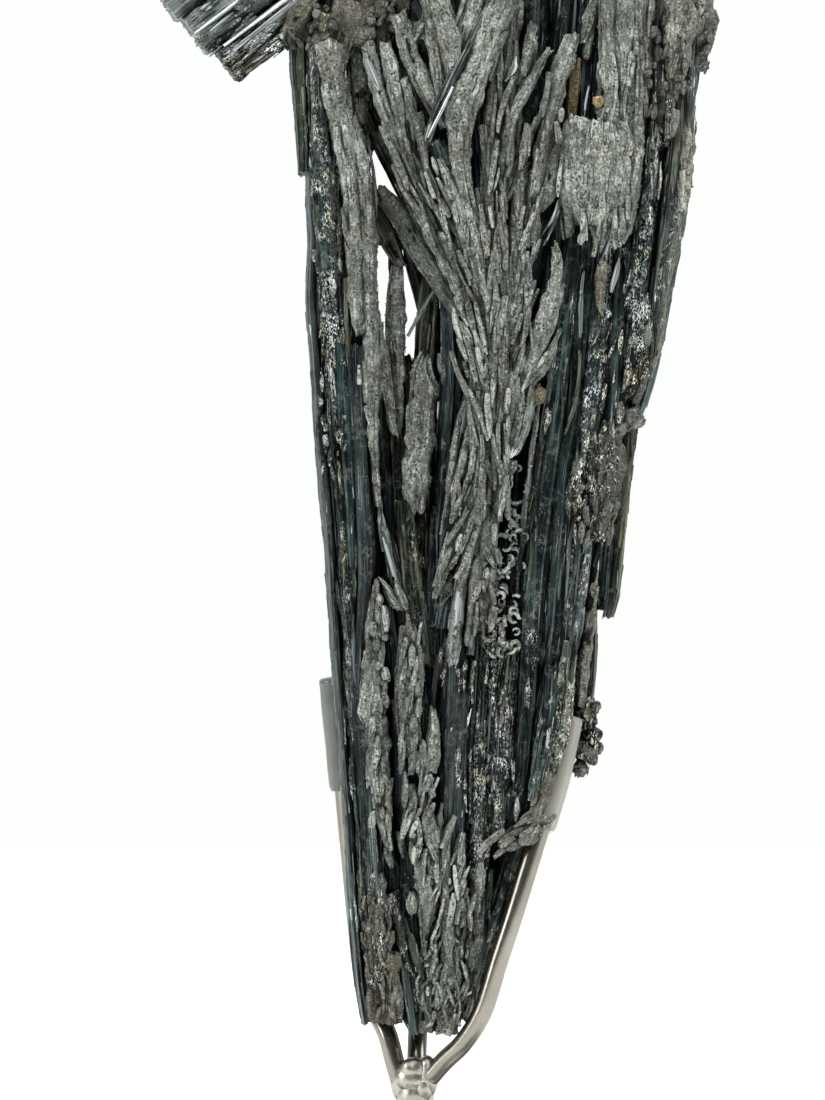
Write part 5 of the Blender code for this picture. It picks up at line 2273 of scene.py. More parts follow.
WAIST = (
    coated(((13.5, 318, 3), (16.5, 309, 4.2), (18.3, 288, 4.6), (19.3, 270, 4.6), (18.7, 252, 4.2), (17.2,
        238, 3.2)), (-18.5, -18), 5),
    coated(((19.8, 318, 3), (21.9, 297, 4), (22.9, 282, 4.2), (22.3, 261, 4.4), (20, 243, 4), (18.8, 228,
        3)), (-19.5, -19), 5),
    coated(((25.5, 330, 2.6), (26.4, 306, 3.8), (26.6, 285, 4), (25.5, 267, 4.6), (23.4, 249, 4.6), (21.6,
        234, 3.4)), (-19.5, -18.5), 5),
    coated(((29.8, 324, 2.6), (29.3, 297, 3.8), (29.2, 279, 4.4), (27.6, 261, 5.4), (25.4, 246, 5.4), (24,
        232, 4)), (-18.5, -18), 5),
    coated(((32.4, 318, 2.6), (31.2, 297, 3.6), (31.2, 279, 4), (31, 264, 4.6), (28.8, 252, 5)), -17.5, 5),
    coated(((35.4, 276, 3.4), (33.6, 264, 5), (31.2, 255, 4.6), (28.8, 249.5, 3)), (-16.5, -17.5), 4.4,
        coat=0.7, shine=0.4, blue=0.3),
    coated(((37.6, 273, 3.8), (36.2, 268, 5.4), (33.6, 263.5, 4)), -15.5, 5, stain=0.55, lumps=0.9),
    coated(((25.5, 258, 5.4), (19.5, 243, 5), (14.1, 228, 4.6), (9, 216, 3.8), (5.3, 206.6, 2.2)), -17,
        4.6),
    coated(((19.5, 232, 4), (16.2, 223.5, 4), (14, 215, 3.2), (13, 210, 1.8)), -16.5, 4),
    coated(((21.4, 232, 4.2), (18.3, 213, 4.2), (15.8, 192, 2.6)), -15, 4),
    coated(((14.2, 219, 3), (12.6, 207, 4.4), (11.6, 196, 4.6), (10.6, 186, 3.6)), -14.5, 3, coat=0.55,
        shine=0.8, lumps=0.1, groove=0.6),
    coated(((11.4, 216, 2.2), (9.4, 208, 2.6), (8.2, 203.5, 2)), -15, 2.4, coat=0.7, tone=0.8),
    bare(((18.6, 222, 3.2), (17.4, 207, 3.2), (16.3, 190, 3)), -12.5, 4, blue=0.8, shine=0.05),
    coated(((22.6, 246, 5.2), (21.9, 234, 5.6), (21.2, 219, 5.6), (20.2, 207, 5.2), (19.2, 196, 3.2)),
        (-14.5, -14), 6, coat=0.85, lumps=0.9),
    coated(((28.6, 250, 5.6), (26, 243, 3.4), (24.4, 234, 2.6), (23.6, 222, 2.2)), (-14, -12.5), 4,
        coat=0.8, lumps=1, tone=0.9),
    coated(((22.8, 214, 2), (22, 205, 3), (21, 197, 2.4)), (-12.5, -12), 3.4, coat=0.7, tone=0.8),
    coated(((15.4, 268, 1.4), (12.6, 258, 1.8), (10.9, 246, 1.9), (9.4, 236, 1.7), (7.4, 226, 1.3)), -14, 2,
        lumps=0.2),
    coated(((16.8, 260, 3), (14.6, 249, 3.4), (12.3, 240, 2.8), (10.6, 231, 1.8)), -15, 3.4, coat=0.6,
        shine=0.5, blue=0.7, groove=0.5),
    bare(((21, 254, 3.4), (18.6, 243, 3.8), (16.2, 233, 3)), -17.2, 3, blue=1, shine=0.6, etch=0.3),
    bare(((26, 252, 4), (23.4, 245, 4.6), (21.6, 240, 3.4)), (-18.6, -18.2), 3, blue=0.8, shine=0.9,
        etch=0.3),
    bare(((32.8, 260, 3), (30.2, 254, 3.6), (28.4, 249.5, 2.6)), -18.4, 3, blue=0.7, shine=1, etch=0.2),
)

FINGERS = (
    bare(((-3, 322, 3.2), (-5.8, 314, 4.8), (-5.7, 300, 4.8), (-5.6, 280, 5.2), (-4.5, 240, 5.4), (-2.5,
        190, 5.4)), 2.5, 7, tone=0.9, jag=0.5),
    coated(((-4.9, 308.8, 3), (-5.2, 303, 4.4), (-5.5, 297, 5.2), (-5.6, 288, 5.6), (-5.4, 279, 4.6), (-4.7,
        267, 3.6), (-4.2, 257, 2.6)), (-4, -5), 5, coat=0.78, lumps=0.6),
    coated(((3.2, 281.6, 2.8), (2.4, 276.5, 6), (2.6, 271, 7.6), (2.2, 264, 7.8), (1.4, 252, 8.2), (0.6,
        243, 8.8), (0.5, 238, 7.6), (0.8, 232, 4)), (-8, -8.5), 8, lumps=0.7),
    coated(((7.6, 282, 1.8), (8.4, 276, 2.6), (9, 268, 1.8)), -7, 2.2, coat=0.8),
    bare(((9.4, 300, 5), (9.9, 288, 5), (10, 270, 5), (9.2, 255, 4.6), (8.4, 240, 4.2), (6, 215, 5), (4.5,
        190, 6)), -5, 7, blue=0.9, shine=0.1, tone=0.1),
    bare(((6, 298, 6), (5.2, 284, 6), (4, 264, 6), (2, 230, 7), (0.5, 190, 7)), 0.5, 9, tone=0.7),
    bare(((14, 300, 4.2), (13.2, 280, 4.6), (12.6, 262, 4.2)), (-3, -4), 6, tone=0.6, blue=0.3),
    bare(((-9.4, 276, 4), (-8.6, 254, 7), (-7, 220, 8), (-5, 180, 8)), (5, 4), 8, tone=0.3),
    bare(((6, 300.4, 0.7), (2, 293.6, 0.8), (-2.2, 286, 0.7)), (-8, -6.5), 0.8, shine=0.7, coat=0.5,
        steps=0),
    bare(((-11, 232, 3.6), (-7.4, 222, 6.6), (-4, 206, 7), (-1, 190, 7)), (-3, -4), 8, tone=0.8, coat=0.15,
        etch=0.3),
    bare(((-3, 238, 7), (-1.8, 222, 8), (0, 204, 9), (2, 186, 9)), (-3.5, -5), 8, tone=0.9, coat=0.12,
        etch=0.35, blue=0.4),
    bare(((6.2, 236, 3), (6, 224, 4.4), (6, 208, 4.6), (5.6, 190, 5)), (-6, -6.5), 6, blue=0.8, tone=0.1),
)

LOWER = (
    # Coated columns over the left of the foot.
    coated(((-11, 214, 2), (-11.8, 205, 4.4), (-12, 195, 5.4), (-12.6, 183, 6.6), (-12.2, 174, 7.6), (-10.9,
        165, 6.8), (-10.3, 154, 7), (-9.4, 146, 6.4), (-9, 139, 4), (-7.6, 132, 2.6), (-6.6, 127, 1.6)),
        (-12, -11), 7, coat=0.92, lumps=0.9),
    coated(((-6.2, 213, 1.4), (-3.6, 206.6, 2.4), (-2.2, 203.5, 1.2)), -12, 2, coat=0.6, shine=0.5),
    coated(((-11.4, 214.5, 1.2), (-8.4, 209.6, 2.8), (-5.6, 205.6, 2.4), (-2.6, 203.4, 1.4)), -11.5, 2.2,
        coat=0.75),
    coated(((-1, 200.5, 4.5), (-1.2, 192, 7.4), (-1.8, 177, 7.2), (-0.9, 165, 6.4), (-0.6, 158, 4.4)),
        -12.5, 7, coat=0.94, lumps=0.6),
    coated(((4.6, 176, 1.4), (5.4, 171, 3.4), (5.2, 162, 4), (4.2, 154, 3.2)), -13, 4, lumps=0.6),
    coated(((2.7, 166, 2.2), (2.6, 158, 3.6), (2.8, 151, 2.6)), -13.5, 4),
    coated(((-6.6, 178, 1.6), (-4.2, 168, 3.4), (-2.6, 160, 2.4)), -10, 5, coat=0.85),
    coated(((-1.2, 152.6, 3.6), (-1, 147, 3.6), (-0.4, 138, 3.4), (0.2, 130, 3), (1.6, 124, 1.6)), -12.5, 4,
        coat=0.95, lumps=0.5),
    coated(((2, 152, 2.4), (2.4, 145, 3.2), (4.4, 139, 4.6), (5.2, 134, 4.6), (6, 126, 3.4), (7.2, 120, 2),
        (8, 115, 1.2)), (-13, -12.5), 4, coat=0.95),
    coated(((0.2, 131, 4.6), (2.2, 124, 5.6), (3.6, 118, 6), (3.4, 111, 4.8), (3.2, 105.4, 3.8)), (-13,
        -12.5), 4, coat=0.98, lumps=0.35),
    coated(((-1, 120, 2.2), (-1.2, 116, 3.6), (-0.4, 111.6, 2)), -13.5, 3, coat=0.98, lumps=0.3),
    coated(((8, 147, 1.4), (7.6, 140, 1.9), (8, 128, 1.4)), -13, 2.4, coat=0.95),
    coated(((11.4, 142, 1.6), (9.8, 136, 4.6), (9.2, 125, 4.2), (9.6, 114, 4), (10.4, 104, 3.6), (11, 97,
        2.4)), (-13, -12), 4, coat=0.96, lumps=0.5),
    coated(((14, 138, 2.4), (13, 131, 4.2), (13.2, 124, 4), (14.2, 116, 3.4), (14, 108, 2.4)), (-13, -12),
        3.6, lumps=0.7),
    coated(((19.4, 129, 1.8), (19.4, 123, 3.4), (18.6, 116, 2.4), (18, 106, 1.4)), (-12.5, -12), 3,
        lumps=0.7),
    coated(((-9.2, 134, 2.2), (-8, 130, 3.2), (-6.8, 126, 1.6)), -11, 3),
    coated(((-5.2, 138, 2), (-4.6, 134, 2.4), (-3.4, 129, 1.2)), -11.5, 2.4),
    # The dark body behind them.
    bare(((-8.8, 210, 4.6), (-6.4, 192, 5.2), (-5.4, 174, 6), (-4, 150, 7), (-2.4, 126, 7.5), (-0.5, 104,
        7), (1.2, 88, 5)), (-4.5, -5), 10, tone=0.2, blue=0.3),
    bare(((1.2, 186, 7), (2.4, 160, 8), (4.2, 130, 9), (4.6, 100, 9), (3.2, 80, 7)), -5, 11, tone=0.2,
        blue=0.4),
    bare(((2.6, 106, 5), (3.4, 99, 5), (4, 93.5, 4)), -10, 4, tone=0, blue=0.9),
    bare(((-6.6, 120, 5), (-3.4, 104, 4), (-0.6, 92, 3), (0.6, 82, 2.4)), (-9.5, -9), 4, etch=0.6,
        coat=0.3),
    bare(((-3, 112, 2), (-0.4, 102, 3), (2.2, 92, 2)), (-11, -10.5), 3, blue=0.4, coat=0.3),
    bare(((-3.8, 106, 5), (-2.8, 93, 6.6), (-1.4, 83, 5.6), (0.2, 75.6, 3)), (-6.5, -6), 8, blue=0.7,
        tone=0, coat=0, shine=0.05, etch=0.1),
    coated(((-11.8, 128, 5), (-11.6, 116, 8), (-11, 102, 8.6), (-10.4, 92, 9.4), (-10.2, 84, 8)), (-11,
        -10), 6, coat=0.35, etch=0.8, lumps=0.9, tone=0.7),
    coated(((-8.8, 102, 9), (-9.2, 90, 10), (-9.8, 80, 10)), (-8, -7.4), 10, coat=0.7, stain=0.45,
        lumps=1.6, etch=0.5, tone=0.95, jag=0.8),
    coated(((-6, 96, 5), (-5.4, 88, 6), (-4.6, 80, 3.6)), (-9, -8.4), 7, coat=0.8, lumps=1, tone=0.9,
        jag=0.8),
    coated(((11, 114, 9), (10.4, 97, 12), (9, 85, 12), (8.2, 77, 10)), (-5.5, -4.5), 12, coat=0.85,
        lumps=1.6, groove=0.9, ridges=2, jag=0.6),
    coated(((3.4, 98, 6), (3.2, 88, 8), (3.8, 77, 7)), (-6.6, -6), 9, coat=0.85, lumps=1, tone=0.8,
        jag=0.6),
    coated(((19.8, 122, 6), (18.4, 104, 7), (16, 92, 7), (13.6, 80, 6)), (-5.5, -3.5), 9, coat=0.5,
        etch=0.5, lumps=0.8, groove=0.8),
    bare(((21.8, 128, 6), (20.6, 112, 6), (18, 98, 5)), (-2.5, -1.5), 9, coat=0.15, etch=0.3),
)

HEART = (
    bare(((13, 196, 8), (12.6, 176, 9), (12, 156, 9), (11.4, 138, 8), (11, 118, 7)), (-6.5, -5.5), 12,
        blue=0.5, tone=0.1, shine=0.08, etch=0.2),
    etched(((20.6, 198, 9), (19.8, 180, 9.5), (19, 160, 10), (18.6, 140, 9), (17.8, 122, 7)), (-6.5, -5),
        12, coat=0.22, tone=0.3, blue=0.3),
    etched(((29, 196, 8), (27.6, 180, 9), (26.2, 162, 10), (25.6, 144, 9.5), (24, 134, 6)), (-7.5, -6), 13,
        coat=0.15, tone=0.2, blue=0.5),
    bare(((34.4, 200, 6), (33.2, 180, 7), (31.6, 162, 8), (29.6, 146, 7)), (-7, -4), 12, blue=0.5, tone=0.2,
        etch=0.25),
    coated(((38.6, 163, 5), (37.6, 154, 7), (36.6, 144, 6)), (-4, -2), 9, stain=0.8, coat=0.7, lumps=0.8),
    coated(((36.5, 142, 3), (32.4, 138.5, 4.6), (27.5, 135, 5), (24.6, 131, 3.4)), (-8.5, -9), 5,
        stain=0.15, coat=0.85, lumps=0.8),
    bare(((30, 262, 9), (30, 235, 10), (29, 205, 10), (28, 180, 9)), (5, 4), 10, tone=0.1),
    bare(((38, 160, 9), (32, 138, 10), (26.5, 118, 10), (20, 98, 9), (14, 81, 7)), (1.5, 1), 14, tone=0.4,
        coat=0.15, etch=0.3),
    bare(((-6.5, 140, 8), (-5, 118, 9), (-3, 98, 9), (-1, 84, 7)), -1, 12, tone=0.1),
    etched(((23.6, 190, 8), (22.6, 172, 8), (21.6, 150, 8)), (-8, -7), 8, tone=0.4, blue=0.3),
)

RIGHT_SPARS = (
    bare(((48.4, 318, 7), (46.4, 300, 9.5), (44.2, 285, 10.5), (42.2, 270, 11), (40.2, 255, 11), (38.2, 240,
        11), (36.4, 225, 10.4), (35.2, 207, 9.6), (34.2, 189, 9), (33, 171, 8.6), (31.2, 153, 7), (28.5,
        138, 5)), (-8, -5), 14, blue=0.6, tone=0.15, facets=8, etch=0.3, ridges=0.9, mesh_across=0.9,
        mesh_along=2),
    bare(((52.4, 322, 10), (50.4, 303, 11.6), (48.8, 285, 12), (47.2, 267, 12.4), (45.3, 249, 12.4), (43.4,
        231, 12), (41.6, 213, 11.6), (40, 195, 10.6), (37.6, 177, 8.4), (34.8, 159, 6.4), (32, 142, 5)),
        (-7.6, -3), 14, blue=0.5, tone=0.25, etch=0.25),
    etched(((57, 318, 9), (55.4, 300, 11), (53.8, 282, 11.6), (52.2, 264, 12), (50.6, 246, 11.4), (48.8,
        228, 10.4), (47.2, 210, 9.6), (45.8, 196, 8), (44.6, 186, 6)), (-7.9, -5.4), 14, etch=0.5, tone=0.3,
        blue=0.4, facets=8, ridges=1.4),
    etched(((49, 214, 7), (47.6, 196, 8), (45.6, 180, 8.4), (43.4, 165, 8), (40.6, 150, 7), (37.6, 136, 6)),
        (4.5, 5), 10.5, coat=0.3, tone=0.4, blue=0.3),
    bare(((52.6, 206, 5), (51.6, 190, 6), (50.4, 176, 6.4), (49, 160, 5.4)), (6, 6.5), 9, tone=0.6,
        coat=0.3, etch=0.4),
    bare(((62.6, 322, 9), (61.2, 303, 10.6), (59.4, 284, 11.2), (57.8, 266, 11.4), (56, 249, 10.4), (54.4,
        234, 8), (53.4, 224, 5)), (-7.6, -5), 14, blue=0.5, tone=0.2, etch=0.3),
    etched(((69.4, 334, 9), (67.6, 316, 11), (65.6, 297, 11.6), (63.6, 279, 11.4), (61.8, 268, 8.4), (60.2,
        261.5, 5)), (-7.5, -5), 15, coat=0.12, etch=0.6, tone=0.2, blue=0.6, ridges=1.4),
    bare(((79, 352, 7), (77.4, 336, 8), (75.8, 318, 8.6), (73.6, 302, 8.4), (71.2, 286, 8.2), (68.6, 272,
        7.6), (66, 262, 5.4)), (-4.5, -3), 15, tone=0.2, blue=0.7, shine=0.06, etch=0.25),
    bare(((67, 290, 5), (65, 268, 5.6), (62.9, 246, 4.8), (61.7, 231, 4.4), (60.5, 219, 4.6), (59.2, 208,
        4.8), (57.6, 201, 4.2)), 8, 9, tone=0.9, coat=0.12),
    bare(((59.4, 240, 4.4), (58, 228, 4), (56.9, 213, 4.2), (56, 203, 4.2)), (4, 4.5), 8, blue=0.7, tone=0),
    coated(((59.4, 250, 4), (60.6, 246, 3), (59.6, 238, 2.2), (58.8, 228, 3), (57.4, 222, 2)), (-8, -7.5),
        3, lumps=0.9, stain=0.15),
    coated(((54, 218, 2.4), (52.6, 206, 4), (51.2, 192, 3.6), (50, 180, 3), (49.4, 174, 2)), (-2, 0), 6,
        coat=0.6, lumps=0.8, stain=0.15),
    bare(((37, 266, 1.1), (34.6, 247, 1.2), (32.2, 224, 1)), (-15, -14), 1.2, coat=0.7, shine=0.8, steps=0,
        jag=0.2),
    coated(((40, 267, 2), (39.8, 262, 3), (38.6, 256, 2)), (-15, -14.5), 2.4, coat=0.35, etch=0.6,
        tone=0.8),
)

RIGHT_CRUST = (
    bare(((46.6, 196, 5), (45, 183, 6), (43.8, 170, 6.4), (41.4, 160, 6), (39.4, 152, 5)), (-12.6, -15.6),
        3, etch=0.4, coat=0.3, blue=0.4),
    bare(((41, 188, 5), (40, 172, 6.4), (37.6, 158, 6.4), (35, 146, 4.6)), (-12, -14.6), 5, etch=0.5,
        coat=0.2, tone=0.3, blue=0.5),
    coated(((41.2, 160, 3), (39.4, 153, 4.4), (37.2, 145.5, 4), (35, 139.5, 3)), -15.2, 2.6, stain=0.3,
        tone=1, coat=0.6, etch=0.4, ridges=6),
    coated(((37.6, 141, 3), (34.4, 136.6, 4.6), (30.4, 134, 4)), (-15.2, -14), 3.6, stain=0.1),
    etched(((58, 262, 7), (57, 250, 12), (55.2, 236, 12), (53, 224, 8)), (-11, -9.5), 8, coat=0.4,
        stain=0.1, lumps=1.3, tone=1),
    coated(((49.6, 254, 4), (48.6, 243, 7), (47.4, 232, 6), (46.2, 224, 3)), (-12, -10.5), 6, coat=0.35,
        etch=0.7, lumps=0.9, tone=0.8),
    coated(((67.6, 264, 4), (65.6, 261, 6), (63.4, 258.5, 3)), (-10, -9), 6, stain=0.25, coat=0.85,
        lumps=1.3),
    etched(((69.2, 300, 4), (68.2, 285, 7), (66, 272, 7.5), (64.2, 266, 4)), (-11.5, -10), 6, coat=0.35,
        lumps=1, tone=0.6),
)

PLATES = (
    coated(((46.4, 352, 3.6), (46.2, 348, 4.8), (45.9, 333, 5), (46.1, 322, 4.8), (46.4, 315, 3.6)), (-18.5,
        -18), 7, lumps=0.45, ridges=0.5),
    coated(((50.6, 353, 3.4), (50.4, 346, 4.4), (50.2, 334, 4.6), (50, 324, 4), (50, 319, 2.8)), (-18,
        -17.5), 6, lumps=0.4, ridges=0.5),
    coated(((53.6, 352, 3), (53.7, 342, 4.4), (53.5, 330, 4.8), (53.4, 319, 4.2)), (-18, -17.5), 6,
        lumps=0.4, ridges=0.5),
    coated(((58.6, 404, 4), (57.9, 388, 4.8), (58.4, 369, 5.8), (58.4, 357, 5.4), (57.4, 348, 6.2), (56.7,
        333, 6.6), (55.8, 318, 5.8), (54.8, 310, 2.6)), (-18, -17.6), 7, lumps=0.9, ridges=0.6, facets=8),
    coated(((64.6, 412, 5), (63.2, 388, 6.6), (63, 370, 6.8), (61.8, 357, 4), (61, 345, 4.4), (59.4, 327,
        4.4), (58, 314, 2.8)), -17.5, 7, lumps=0.9, ridges=0.6, facets=8),
    coated(((68.4, 406, 4), (66.6, 388, 4), (67, 369, 3.8), (66.9, 357, 3.8), (66.3, 345, 5), (65.1, 333,
        5.6), (63.2, 321, 5), (61.4, 313, 2.6)), -16.5, 7, lumps=0.45),
    coated(((72.4, 402, 5), (70.4, 386, 5.2), (69.8, 372, 4.4), (69.4, 360, 3.4)), (-14.5, -15), 7,
        coat=0.7, lumps=0.5, blue=0.4),
    bare(((74, 382, 5.4), (72.6, 366, 6), (71.7, 351, 6), (70.2, 336, 5.6), (68, 320, 6)), (-12, -11.5), 9,
        blue=0.9, shine=0.1, coat=0.12, etch=0.6),
    bare(((82, 380, 8), (80.6, 362, 8), (79.4, 345, 8.6), (77.6, 328, 9), (74.6, 308, 8.6), (71.6, 286, 7),
        (69.4, 272, 4)), (-9.5, -6), 12, tone=0.8, blue=0.5, etch=0.4, ridges=2.5, shine=0.12, coat=0.2),
    coated(((82.6, 408, 14), (79, 388, 15), (78.6, 374, 14), (77.6, 362, 9), (77.4, 355, 4)), (-11.5, -12),
        13, coat=0.86, etch=0.3, lumps=1.7, stain=0.12),
    coated(((87.6, 396, 5), (86.2, 384, 6), (86.4, 374, 6), (84.8, 368, 4)), -4, 10, coat=0.88, lumps=1.6),
    coated(((81.6, 350, 2.8), (81.9, 344, 4), (81, 338, 3.4), (80.6, 330, 3.8), (79.6, 322, 2.6)), -13, 9,
        coat=0.95, lumps=1.4, stain=0.15, ridges=5, tone=0.3),
    bare(((53, 400, 8), (52, 380, 8), (51, 350, 8), (50, 320, 8)), -9, 10, tone=0.1),
    coated(((54.4, 353, 17), (54.4, 342, 20), (53.6, 328, 19), (52, 317, 12)), (-18.9, -18.5), 7, facets=9,
        lumps=0.8, coat=0.95, tone=0.35, jag=2.4, ridges=0.7, mesh_across=0.75),
    coated(((64.6, 390, 12), (64, 366, 12), (63.2, 345, 11), (61.6, 324, 8)), (-16.4, -16), 7, facets=10,
        lumps=1.2, tone=0.45, jag=2.4, ridges=1, mesh_across=0.75),
    coated(((74.6, 392, 10), (74.4, 378, 10), (73.4, 364, 7)), (-12.6, -12.8), 6, coat=0.8, lumps=0.8,
        tone=0.6, jag=1.8),
    etched(((75.6, 372, 6), (74.8, 356, 6.6), (74, 342, 5.4)), (-13.4, -13.2), 6, coat=0.35),
    bare(((57, 362.5, 2.6), (55.4, 356.5, 3.4), (54.4, 352, 2.6)), -17.5, 2.6, tone=0.9, shine=0.3),
    bare(((52.4, 361.6, 0.9), (51.4, 357, 1), (50.8, 351.5, 0.8)), -17.5, 1, shine=1),
    coated(((54.6, 392, 3), (53, 380, 3.2), (51, 368, 2.4)), -14.5, 4, coat=0.7),
    coated(((57.2, 312, 3), (55.8, 303, 3.6), (55.2, 296, 3), (56.6, 291, 1.6)), (-15.6, -14.8), 3,
        coat=0.75, stain=0.3, lumps=0.7),
    bare(((61.4, 310, 1), (60.4, 304.6, 1.8), (58.8, 299, 1.3)), (-15.8, -15.4), 1.6, shine=0.86, blue=0.9,
        steps=0.3, jag=0.6),
    bare(((58.6, 317, 1.2), (57, 311, 1.6), (55.4, 305, 1.2)), (-16.6, -15.8), 1.6, shine=0.9, blue=0.9,
        steps=0.1, jag=0.3),
)

BACK = (
    bare(((29, 384, 12), (23, 320, 13), (15, 220, 14), (7, 130, 13), (3, 86, 10)), (8, 5), 18, tone=0.6),
    bare(((44, 402, 11), (36, 330, 13), (26, 230, 14), (15, 140, 13), (9, 92, 10)), (20, 10), 13, tone=0.7),
    bare(((71, 372, 12), (58, 300, 14), (42, 210, 14), (27, 140, 12), (17, 98, 9)), (17, 8), 14),
    bare(((12, 284, 9), (8.5, 220, 11), (5, 150, 12), (2, 96, 9)), (18.5, 10), 11, tone=0.4),
    bare(((83, 390, 10), (72, 330, 12), (56, 250, 12), (40, 180, 11)), 11, 12, tone=0.6),
    bare(((55, 444, 7), (50, 420, 9), (42, 360, 10), (33, 296, 9)), (25, 14), 10, tip=Tip.CHISEL),
    bare(((31.5, 450, 7), (30, 420, 10), (28, 360, 12), (26, 300, 12), (24, 262, 10)), (2, 4), 13,
        tip=Tip.CHISEL, tone=0.4),
    bare(((50.5, 458, 8), (48, 430, 11), (45, 380, 12), (41, 310, 13), (38, 262, 11)), (-4, 2), 14,
        tip=Tip.CHISEL, tone=0.3, mesh_across=1.2, mesh_along=3),
    bare(((73, 439, 8), (70, 415, 11), (65, 360, 12), (59, 300, 12)), (6, 4), 13, tip=Tip.CHISEL, tone=0.4),
    bare(((88, 426, 5), (85, 405, 8), (80, 360, 9), (74, 310, 8)), (4, 0), 9, tip=Tip.CHISEL,
        mesh_across=1.2, mesh_along=3),
    bare(((10, 428, 7), (13, 400, 10), (18, 350, 11), (22, 300, 10)), (14, 10), 10, tip=Tip.CHISEL),
    bare(((3, 434, 6), (5, 400, 8), (8, 350, 9), (12, 318, 8)), (4, 3), 9, tip=Tip.CHISEL),
    bare(((-15, 420, 8), (-13, 390, 10), (-11, 352, 8)), (10, 9), 9),
    bare(((-4, 412, 16), (0, 380, 18), (5, 350, 16)), (10, 9), 10),
    bare(((-15, 354, 7), (-4, 334, 8), (8, 310, 9), (18, 290, 8)), (4, 2), 9),
    bare(((-3, 318, 6), (3, 300, 8), (7, 284, 9), (9.5, 266, 8)), (6.5, 6), 8),
    bare(((26, 300, 13), (20, 262, 13), (15, 230, 13), (9, 198, 12)), -9, 11, tone=0.2, mesh_across=1.2,
        mesh_along=3),
    bare(((60, 412, 8), (54, 370, 9), (46, 322, 8)), (-2, 0), 10, mesh_across=1.2, mesh_along=3),
    bare(((11, 334, 10), (13.5, 305, 12), (17, 270, 12)), (1, 0), 10, mesh_across=1.2, mesh_along=3),
    bare(((-6, 370, 10), (-0.6, 351, 12), (3.8, 334, 12), (8.6, 314, 11), (12, 296, 8)), (-4, -3), 9,
        tone=0.6, mesh_across=1.2, mesh_along=3),
    bare(((-3.2, 281, 5), (-1.6, 268, 7), (-0.6, 250, 8), (0.6, 226, 8)), (2, 1), 7, mesh_across=1.2,
        mesh_along=3),
    bare(((3.8, 309, 4), (3.2, 297, 5), (2.6, 284, 6), (1.6, 268, 7)), 1, 6, tone=0.7, mesh_across=1.2,
        mesh_along=3),
    bare(((-16.4, 332, 4), (-12.6, 323.5, 6.5), (-8, 314.5, 6.5), (-3.6, 306, 4)), (-4.5, -5.5), 6, tone=1,
        coat=0.35, mesh_across=1, mesh_along=2),
    bare(((-6, 396, 8), (4, 372, 8), (14, 344, 8)), (-8, -6), 8, tone=0.1, mesh_across=1.2, mesh_along=3),
    bare(((14, 404, 10), (17, 380, 12), (20, 350, 12), (24, 316, 11)), (-9, -8), 10, tone=0.1,
        mesh_across=1.2, mesh_along=3),
    bare(((36, 394, 9), (34, 364, 12), (31, 330, 12), (28, 296, 11)), -9, 10, tone=0.2, mesh_across=1.2,
        mesh_along=3),
    bare(((46, 392, 8), (43, 360, 9), (38, 326, 9), (33, 296, 8)), (-7, -8), 10, tone=0.2, mesh_across=1.2,
        mesh_along=3),
)

